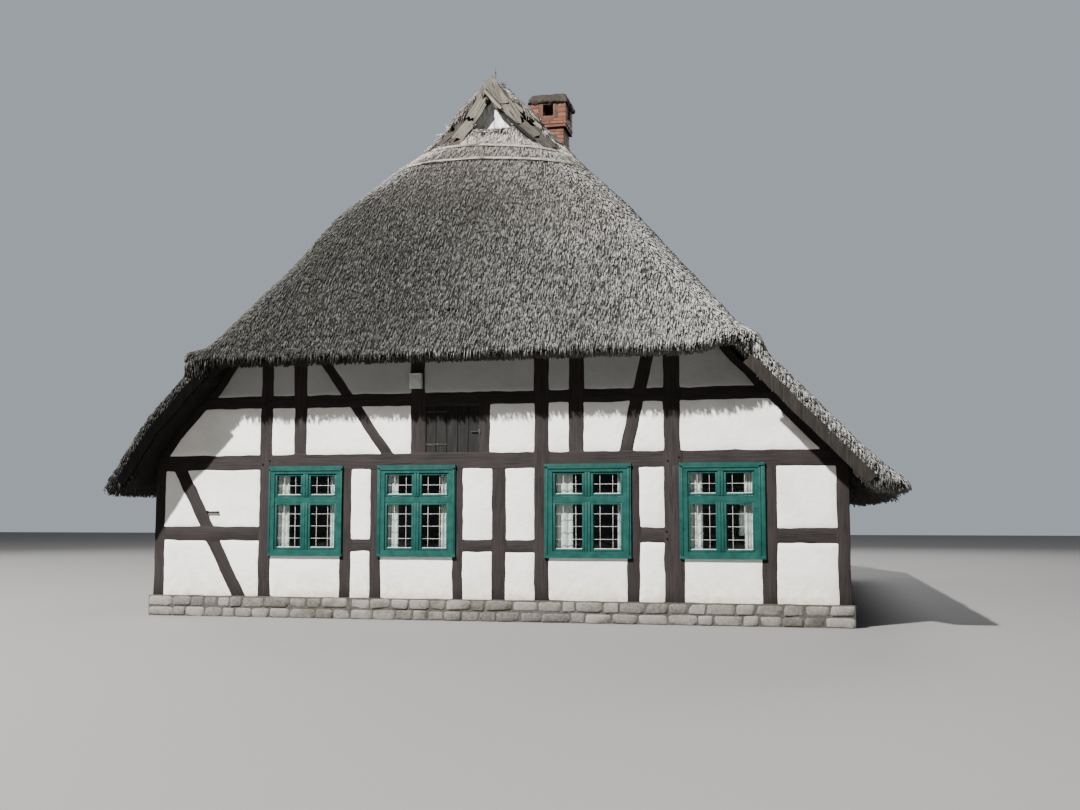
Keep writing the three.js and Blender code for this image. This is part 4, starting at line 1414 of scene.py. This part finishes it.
def gablet_wall(count):
    """Upright boards side by side that fill the triangle between the wind boards."""
    (x0, foot), (x1, _), (peak_x, peak) = GABLET_WALL
    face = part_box("front_gablet")[0].y
    step = (x1 - x0) / count
    items = []
    for i in range(count):
        start = x0 + i * step
        item = block((start + 0.002, face - 0.03, foot), (start + step - 0.002, face - 0.002, peak))
        for side, corner in ((-1, x0), (1, x1)):
            out = (side * (peak - foot), 0, side * (corner - peak_x))
            with editing(item):
                bpy.ops.mesh.bisect(plane_co=(peak_x, face, peak), plane_no=out,
                                    clear_outer=True, use_fill=True)
        items.append(chamfered(item, 0.004, 1))
    return items


def mirrored(item):
    """The same piece turned to the back of the house, with its faces outwards."""
    moved(item, Matrix.Diagonal((1, -1, 1, 1)))
    with editing(item):
        bpy.ops.mesh.normals_make_consistent(inside=False)
    return item


def lath(x0, z0, x1, z1, rise, tree):
    """A thin bent lath lying on the thatch of the hip."""
    item = block((0, -0.018, -0.01), (1, 0.018, 0.01))
    grid_cut(item, 0, 1 / 36)
    chamfered(item, 0.004, 1)
    for v in item.data.vertices:
        t = v.co.x
        x = x0 + (x1 - x0) * t
        z = z0 + (z1 - z0) * t + rise * math.sin(math.pi * t) + 0.012 * math.sin(9 * t + x0)
        v.co = (x, depth_at(tree, x, z, 0.055, -5.655) + v.co.z, z + v.co.y)
    item.data.update()
    grain = [(v.co.z, v.co.y, v.co.x) for v in item.data.vertices]
    set_numbers(item, "grain", grain, "FLOAT_VECTOR")
    set_numbers(item, "tone", [2.4] * len(item.data.vertices))
    return item


def rod():
    """The thin iron rod that stands on the gablet's point."""
    parts = ((0.010, 8.80, 9.10), (0.006, 9.08, 9.20), (0.014, 9.10, 9.13))
    return joined("gablet_rod", [pin(radius, z1 - z0, (-0.318, -5.56, (z0 + z1) / 2), sides=10)
                                 for radius, z0, z1 in parts])


class COTTAGE_OT_gablets(bpy.types.Operator):
    """Nail up the torn wind boards, the laths and the rod of the gablets"""

    bl_idname = "cottage.gablets"
    bl_label = "Gablets"

    def execute(self, context):
        coat = bpy.data.objects["thatch_coat"]
        tree = BVHTree.FromPolygons([v.co for v in coat.data.vertices],
                                    [f.vertices for f in coat.data.polygons])
        board = silvered_board()
        # The left verge boards are drawn near-black with almost no shine as painted shade; the right
        # ones keep the tar's own colour.
        tarred = {
            "left": plank_material("verge_tar_painted_shade", "#020202", "#050404", "#0b0908", 0.03),
            "right": plank_material("bleached_verge_tar", "#12100d", "#221e1a", "#363029"),
        }
        lime = limewashed_board()
        for name in ("front", "back"):
            pieces = [(joined(name + "_torn_boards", laid_boards(tree)), board,
                       [name + "_wind_boards"]),
                      (joined(name + "_gablet_wall", gablet_wall(8)), lime, ())]
            for side, places in VERGE_BOARDS.items():
                planks = [plank(a, b, 0.17, 0.03, (-VERGE_FACE, -VERGE_FACE), i + 31.0, 0.03)
                          for i, (a, b) in enumerate(places)]
                pieces.append((joined(f"{name}_{side}_verge_boards", planks), tarred[side], ()))
            for item, material, hidden in pieces:
                if name == "back":
                    mirrored(item)
                dressed(item, material, hidden)
        laths = joined("hip_laths", [lath(*place, tree) for place in LATHS])
        dressed(laths, board)
        dressed(rod(), forged_iron())
        painted(["front_gablet", "back_gablet"], lime)
        return {"FINISHED"}


# Chimney.

BRICK_JOINT = 0.012
BRICK_DEEP = 0.05
STACK_FOOT = 7.9
HEAD_FOOT = 9.84
HOLE_FOOT = 10.04
HOLE_WIDE = 0.22
CAP_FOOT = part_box("chimney_cap")[0].z
# The stack and its wider head, as limits along x and y.
STACK = ((SHAFT_X - 0.32, SHAFT_X + 0.32), (-0.33, 0.33))
HEAD = ((SHAFT_LOW.x, SHAFT_HIGH.x), (SHAFT_LOW.y, SHAFT_HIGH.y))


def brick_template(worn, rounds=1):
    """A unit block with worn edges, which each brick or stone scales to its size."""
    return softened((-0.5, -0.5, -0.5), (0.5, 0.5, 0.5), worn, rounds)


def laid(x, y, z):
    """A matrix that fits a unit block between these limits."""
    limits = (x, y, z)
    centre = Vector([(a + b) / 2 for a, b in limits])
    return Matrix.Translation(centre) @ Matrix.Diagonal((*[b - a for a, b in limits], 1))


def brick_run(start, end, first, length):
    """Cuts a run of wall into bricks."""
    places, at, want = [], start, first
    while end - at > 0.02:
        size = min(want, end - at)
        if end - at - size < 0.07:
            size = end - at
        places.append((at, at + size))
        at += size + BRICK_JOINT
        want = length
    return places


def slabs(limits, proud, deep):
    """The near and the far skin between two limits, standing this far proud of them."""
    low, high = limits
    return (low - proud, low + deep), (high - deep, high + proud)


def brick_ring(x, y, z, turn, length, proud):
    """One course of bricks round a stack; turn sets which faces run past the corners."""
    x0, x1 = x[0] - proud, x[1] + proud
    y0, y1 = y[0] - proud, y[1] + proud
    inset = BRICK_DEEP + BRICK_JOINT
    found = []
    first = length if turn else length / 2
    gap_x = 0 if turn else inset
    gap_y = inset if turn else 0
    for a, b in brick_run(x0 + gap_x, x1 - gap_x, first, length):
        found += [((a, b), skin, z) for skin in slabs((y0, y1), 0, BRICK_DEEP)]
    for a, b in brick_run(y0 + gap_y, y1 - gap_y, first, length):
        found += [(skin, (a, b), z) for skin in slabs((x0, x1), 0, BRICK_DEEP)]
    return found


def head_piers(x, y, z, hole):
    """Corner piers and slim uprights beside the smoke holes, which leave dark slots."""
    deep = BRICK_DEEP
    middle = ((x[0] + x[1]) / 2, (y[0] + y[1]) / 2)
    near = hole / 2 + 0.004
    far = near + 0.05

    def across(axis):
        return (middle[axis] - hole / 2, middle[axis] + hole / 2)
    found = []
    for side in (-1, 1):
        upright_x, upright_y = (tuple(sorted((m + side * near, m + side * far))) for m in middle)
        found += [(upright_x, skin, z) for skin in slabs(y, 0.008, deep)]
        found += [(skin, upright_y, z) for skin in slabs(x, 0.008, deep)]
    sill = (z[0] - BRICK_JOINT, z[0] + 0.05)
    found += [(across(0), skin, sill) for skin in slabs(y, 0.004, deep)]
    found += [(skin, across(1), sill) for skin in slabs(x, 0.004, deep)]
    course = (z[1] - z[0]) / 3
    for i in range(3):
        level = (z[0] + i * course, z[0] + (i + 1) * course - BRICK_JOINT)
        reach = 0.165 if i % 2 else 0.15
        for wide, thin in zip(slabs(x, 0.006, reach), slabs(x, 0.006, deep)):
            for face, rest in zip(slabs(y, 0.006, deep), slabs(y, -deep - 0.01, reach)):
                found += [(wide, face, level), (thin, rest, level)]
    return found


class COTTAGE_OT_chimney(bpy.types.Operator):
    """Lay the chimney's bricks and its mossy cap"""

    bl_idname = "cottage.chimney"
    bl_label = "Chimney"

    def execute(self, context):
        size = sizes()
        found, z, turn = [], STACK_FOOT, True
        while z < HEAD_FOOT - 0.03:
            top = min(z + size.brick_course, HEAD_FOOT) - BRICK_JOINT
            found += brick_ring(*STACK, (z, top), turn, size.brick_length, 0.006)
            z, turn = z + size.brick_course, not turn
        course = (HOLE_FOOT - HEAD_FOOT) / 3
        for i in range(3):
            level = (HEAD_FOOT + i * course, HEAD_FOOT + (i + 1) * course - BRICK_JOINT)
            found += brick_ring(*HEAD, level, i % 2 == 0, size.brick_length,
                                0.016 if i == 1 else 0.006)
        found += head_piers(*HEAD, (HOLE_FOOT, CAP_FOOT + 0.02), HOLE_WIDE)
        rng = random.Random(11)
        matrices = []
        for place in found:
            skew = Matrix.Rotation(rng.uniform(-0.012, 0.012), 4, "Z")
            fitted = laid(*place)
            centre = fitted.to_translation()
            matrices.append(Matrix.Translation(centre) @ skew @ Matrix.Translation(-centre) @ fitted)
        template = brick_template(0.05)
        bricks = scattered("chimney_bricks", template, matrices, [rng.random() for _ in matrices])
        removed(template)
        dressed(bricks, fired_brick())
        cap = node_copy("chimney_cap", "mossy_cap")
        applied(cap, "REMESH", mode="VOXEL", voxel_size=0.026, adaptivity=0.0)
        applied(cap, "SMOOTH", factor=0.5, iterations=1)
        wander(cap, 0.05, 0.075, "cap_moss")
        dressed(cap, mineral("mossy_clay_tile", "#1f1b17", "#453c33", 16.0, 0.02, 0.8),
                ["chimney_cap"])
        painted(["chimney_shaft"], mineral(
            "sooty_lime_mortar", "#2b221d", "#6e5a4b", 30.0, 0.006, 0.8))
        return {"FINISHED"}


# Hatch, door and fittings.

def board_row(low, high, count, rng):
    """Upright boards side by side along x over a slab's face."""
    items = []
    step = (high[0] - low[0]) / count
    gap = 0.0025
    for i in range(count):
        item = block((low[0] + i * step + gap, low[1] + rng.uniform(-0.003, 0.0), low[2]),
                     (low[0] + (i + 1) * step - gap, *high[1:]))
        grid_cut(item, 2, 0.12)
        chamfered(item, 0.004, 1)
        items.append(item)
    return items


def iron_strap(start, reach, wide, thick):
    """A forged strap that narrows to a round end, with three nails; it lies along x."""
    item = block((0, -thick, -wide / 2), (reach, 0, wide / 2))
    grid_cut(item, 0, 0.03)
    for v in item.data.vertices:
        t = v.co.x / reach
        v.co.z *= 1 - 0.45 * t if t < 0.88 else 0.55 + 0.7 * math.sin((t - 0.88) / 0.12 * math.pi)
    item.data.update()
    chamfered(item, 0.002, 1)
    nails = [pin(0.008, 0.008, (reach * (0.1 + 0.38 * i), -thick - 0.002, 0), ACROSS, edge=0.003)
             for i in range(3)]
    return moved(joined("strap", [item, *nails]), Matrix.Translation(start))


def ring_handle(at, radius):
    """A drop ring on a small rose plate."""
    x, y, z = at
    bpy.ops.object.select_all(action="DESELECT")
    bpy.ops.mesh.primitive_torus_add(
        major_radius=radius, minor_radius=radius * 0.13, major_segments=20, minor_segments=8,
        rotation=(math.radians(78), 0, 0), location=(x, y - 0.022, z - radius * 0.85))
    ring = bpy.context.object
    bpy.ops.object.transform_apply(location=True, rotation=True, scale=True)
    plate = pin(radius * 0.6, 0.012, (x, y - 0.004, z), ACROSS, 12, 0.003)
    half = 0.006
    staple = softened((x - half, y - 0.03, z - half), (x + half, y, z + half), 0.002, 1)
    return [ring, plate, staple]


class COTTAGE_OT_doors(bpy.types.Operator):
    """Board the loft hatch and the side door, and hang their ironwork"""

    bl_idname = "cottage.doors"
    bl_label = "Hatch and side door"

    def execute(self, context):
        rng = random.Random(5)
        iron = forged_iron()
        low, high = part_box("loft_hatch")
        face = low.y - 0.014
        boards = joined("hatch_boards", board_row(
            (low.x + 0.004, face, low.z + 0.004), (high.x - 0.004, low.y + 0.004, high.z - 0.004),
            5, rng))
        weathered = plank_material("bleached_plank", "#0d0c0b", "#191816", "#2d2b28")
        dressed(boards, weathered)
        straps = [iron_strap((-0.985, face - 0.002, z), 0.34, 0.034, 0.005)
                  for z in (2.665, 3.17)]
        bar = softened((-0.26, face - 0.022, 2.845), (-0.11, face - 0.012, 2.862), 0.003, 1)
        keeper = softened((-0.145, face - 0.028, 2.805), (-0.11, face, 2.89), 0.006, 1)
        dressed(joined("hatch_iron", straps + [bar, keeper]), iron)
        low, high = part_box("side_door")
        turn = wall_matrix("left")
        inward = turn.inverted()
        a, b = inward @ low, inward @ high
        a, b = Vector(map(min, a, b)), Vector(map(max, a, b))
        face = a.y - 0.016
        boards = joined("door_boards", board_row(
            (a.x + 0.006, face, a.z + 0.006), (b.x - 0.006, a.y + 0.004, b.z - 0.006), 6, rng))
        dressed(moved(boards, turn), weathered)
        fittings = [iron_strap((a.x + 0.02, face - 0.002, z), 0.72, 0.05, 0.006)
                    for z in (0.62, 1.72)]
        fittings += ring_handle((b.x - 0.12, face - 0.002, 1.2), 0.05)
        dressed(moved(joined("door_iron", fittings), turn), iron)
        painted(["loft_hatch", "side_door"], weathered)
        painted(["loft_floor"], plank_material("loft_plank", "#3b322b", "#5f5248", "#7d6f62"))
        return {"FINISHED"}


# Wall box as its limits along x and z and how far it stands out, and the hook as its
# limits along x and its height.
WALL_BOX = ((-1.226, -1.037), (3.532, 3.742), 0.10)
HOOK = ((-4.61, -4.40), 1.634)


class COTTAGE_OT_fittings(bpy.types.Operator):
    """Hang the small things on the street wall: the white box and the iron hook"""

    bl_idname = "cottage.fittings"
    bl_label = "Wall fittings"

    def execute(self, context):
        back = FRONT_FACE - TIMBER_PROUD + 0.004
        (x0, x1), (foot, top), deep = WALL_BOX
        case = softened((x0, back - deep, foot), (x1, back, top), 0.006)
        lid = softened((x0 - 0.005, back - deep - 0.012, top),
                       (x1 + 0.005, back, top + 0.023), 0.005)
        with editing(lid, lambda face: face.normal.z > 0.9):
            bpy.ops.transform.resize(value=(0.92, 0.9, 1))
        shell = joined("wall_box", [case, lid])
        # The box's white paint is drawn grey as painted shade under the eaves.
        dressed(shell, oil_paint("white_paint_in_painted_shade", linear("#bcbfb9"), 0.5))
        (x0, x1), z = HOOK
        near, far = FRONT_FACE - 0.046, FRONT_FACE - 0.022
        bar = softened((x0 + 0.01, near, z - 0.012), (x1, far, z + 0.012), 0.004)
        leg = softened((x1 - 0.03, near, z - 0.015), (x1, FRONT_FACE + 0.01, z + 0.015), 0.004)
        ball = softened((x0, near - 0.008, z - 0.024), (x0 + 0.04, far + 0.008, z + 0.024), 0.014)
        dressed(joined("shutter_hook", [bar, leg, ball]),
                forged_iron("blackened_iron", "#0f0e0d", "#2a2725"))
        return {"FINISHED"}


# Plinth, step and floors.

def stone_run(start, end, z, rng):
    """Stones of uneven length along one side, in one course."""
    found, at = [], start
    while end - at > 0.03:
        size = rng.uniform(0.2, 0.44)
        if end - at - size < 0.16:
            size = end - at
        low = z[0] + rng.uniform(0, 0.008)
        high = z[1] - rng.uniform(0.008, 0.02)
        found.append(((at + 0.006, at + size - 0.006), (low, high)))
        at += size
    return found


class COTTAGE_OT_plinth(bpy.types.Operator):
    """Lay the field stones of the plinth and the worn door step"""

    bl_idname = "cottage.plinth"
    bl_label = "Plinth and step"

    def execute(self, context):
        rng = random.Random(23)
        low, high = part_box("plinth")
        matrices = []
        deep = 0.09
        for z in ((0.0, 0.155), (0.16, high.z)):
            for axis in (0, 1):
                limits = (low[1 - axis], high[1 - axis])
                for side in (0, 1):
                    for along, level in stone_run(low[axis], high[axis], z, rng):
                        skin = slabs(limits, rng.uniform(0.008, 0.022), deep)[side]
                        across = (skin, along) if axis else (along, skin)
                        matrices.append(laid(*across, level))
        template = brick_template(0.19, 2)
        stones = scattered("plinth_stones", template, matrices, [rng.random() for _ in matrices])
        removed(template)
        wander(stones, 0.03, 0.15, "stone_face")
        stone = mineral("granite_field_stone", "#45423d", "#827d75", 22.0, 0.012, 0.5)
        dressed(stones, stone)
        step = node_copy("door_step", "worn_step")
        grid_cut(step, 1, 0.09)
        grid_cut(step, 0, 0.09)
        chamfered(step, 0.018, 3)
        wander(step, 0.014, 0.25, "step_wear", "Z")
        dressed(step, stone, ["door_step"])
        painted(["plinth"], mineral(
            "grey_lime_mortar", "#3a3733", "#6f6b64", 40.0, 0.006, 0.4))
        painted(["ground_floor"], stone)
        return {"FINISHED"}


# Stage.

# The photograph's view: the camera's place, its pitch and its turn in degrees.
CAMERA_PLACE = (4.652, -24.841, 1.586)
CAMERA_PITCH = 95.24
CAMERA_TURN = 12.27
LAMPS_AIM = (0, -2, 3)
# Lamps as name, place, power in watts and size.
LAMPS = (
    ("key", (-14, -30, 33), 74000, 1.0), ("fill", (22, -22, 12), 250, 12),
    ("back", (6, 28, 20), 9000, 12), ("side", (-30, 14, 16), 6000, 12),
)


class COTTAGE_OT_stage(bpy.types.Operator):
    """Set the floor, the lights and the camera"""

    bl_idname = "cottage.stage"
    bl_label = "Stage"

    def execute(self, context):
        bpy.ops.object.select_all(action="DESELECT")
        bpy.ops.mesh.primitive_plane_add(size=160, location=(0, 0, 0))
        floor = context.object
        floor.name = "floor"
        make = Shading("pale_floor")
        floor.data.materials.append(make.finish(make.add("BsdfPrincipled", {
            "Base Color": "#6c6a68", "Roughness": 0.9})))
        bpy.ops.mesh.primitive_plane_add(size=1, location=(0, 75, 40), rotation=ACROSS)
        backdrop = context.object
        backdrop.name = "backdrop"
        backdrop.scale = (260, 80, 1)
        bpy.ops.object.transform_apply(location=True, rotation=True, scale=True)
        make = Shading("pale_backdrop")
        backdrop.data.materials.append(make.finish(make.add("Emission", {
            "Color": "#b4bcc6", "Strength": 0.8})))
        world = bpy.data.worlds.new("studio")
        world.use_nodes = True
        sky = world.node_tree.nodes["Background"].inputs
        sky["Color"].default_value = opaque("#dfe5ec")
        sky["Strength"].default_value = 0.09
        context.scene.world = world
        for name, place, power, size in LAMPS:
            bpy.ops.object.light_add(type="AREA", location=place)
            lamp = context.object
            lamp.name = name
            lamp.data.energy = power
            lamp.data.size = size
            beam_line = Vector(LAMPS_AIM) - Vector(place)
            lamp.rotation_euler = beam_line.to_track_quat("-Z", "Y").to_euler()
        bpy.ops.object.camera_add(location=CAMERA_PLACE, rotation=(
            math.radians(CAMERA_PITCH), 0, math.radians(CAMERA_TURN)))
        camera = context.object
        camera.data.lens = 40
        camera.data.sensor_width = 36
        camera.data.clip_end = 400
        context.scene.camera = camera
        return {"FINISHED"}


class COTTAGE_PT_panel(bpy.types.Panel):
    """Lists the cottage's operators and their sizes"""

    bl_idname = "COTTAGE_PT_panel"
    bl_label = "Cottage"
    bl_space_type = "VIEW_3D"
    bl_region_type = "UI"
    bl_category = "Cottage"

    def draw(self, context):
        for group in (context.scene.cottage_sizes, context.scene.cottage_colours):
            for name in group.bl_rna.properties.keys():
                if name not in ("rna_type", "name"):
                    self.layout.prop(group, name)
        for kind in OPERATORS:
            self.layout.operator(kind.bl_idname)


OPERATORS = (COTTAGE_OT_stage, COTTAGE_OT_thatch, COTTAGE_OT_gablets, COTTAGE_OT_chimney,
             COTTAGE_OT_walls, COTTAGE_OT_windows, COTTAGE_OT_doors, COTTAGE_OT_fittings,
             COTTAGE_OT_plinth)
CLASSES = (CottageSizes, CottageColours, *OPERATORS, COTTAGE_PT_panel)


def register():
    """Adds the cottage's settings, operators and panel to Blender."""
    for kind in CLASSES:
        bpy.utils.register_class(kind)
    bpy.types.Scene.cottage_sizes = PointerProperty(type=CottageSizes)
    bpy.types.Scene.cottage_colours = PointerProperty(type=CottageColours)


def unregister():
    """Takes the settings, operators and panel out again."""
    del bpy.types.Scene.cottage_colours
    del bpy.types.Scene.cottage_sizes
    for kind in reversed(CLASSES):
        bpy.utils.unregister_class(kind)


def main():
    """Builds the whole cottage."""
    register()
    for kind in OPERATORS:
        group, name = kind.bl_idname.split(".")
        getattr(getattr(bpy.ops, group), name)()


if __name__ == "__main__":
    main()
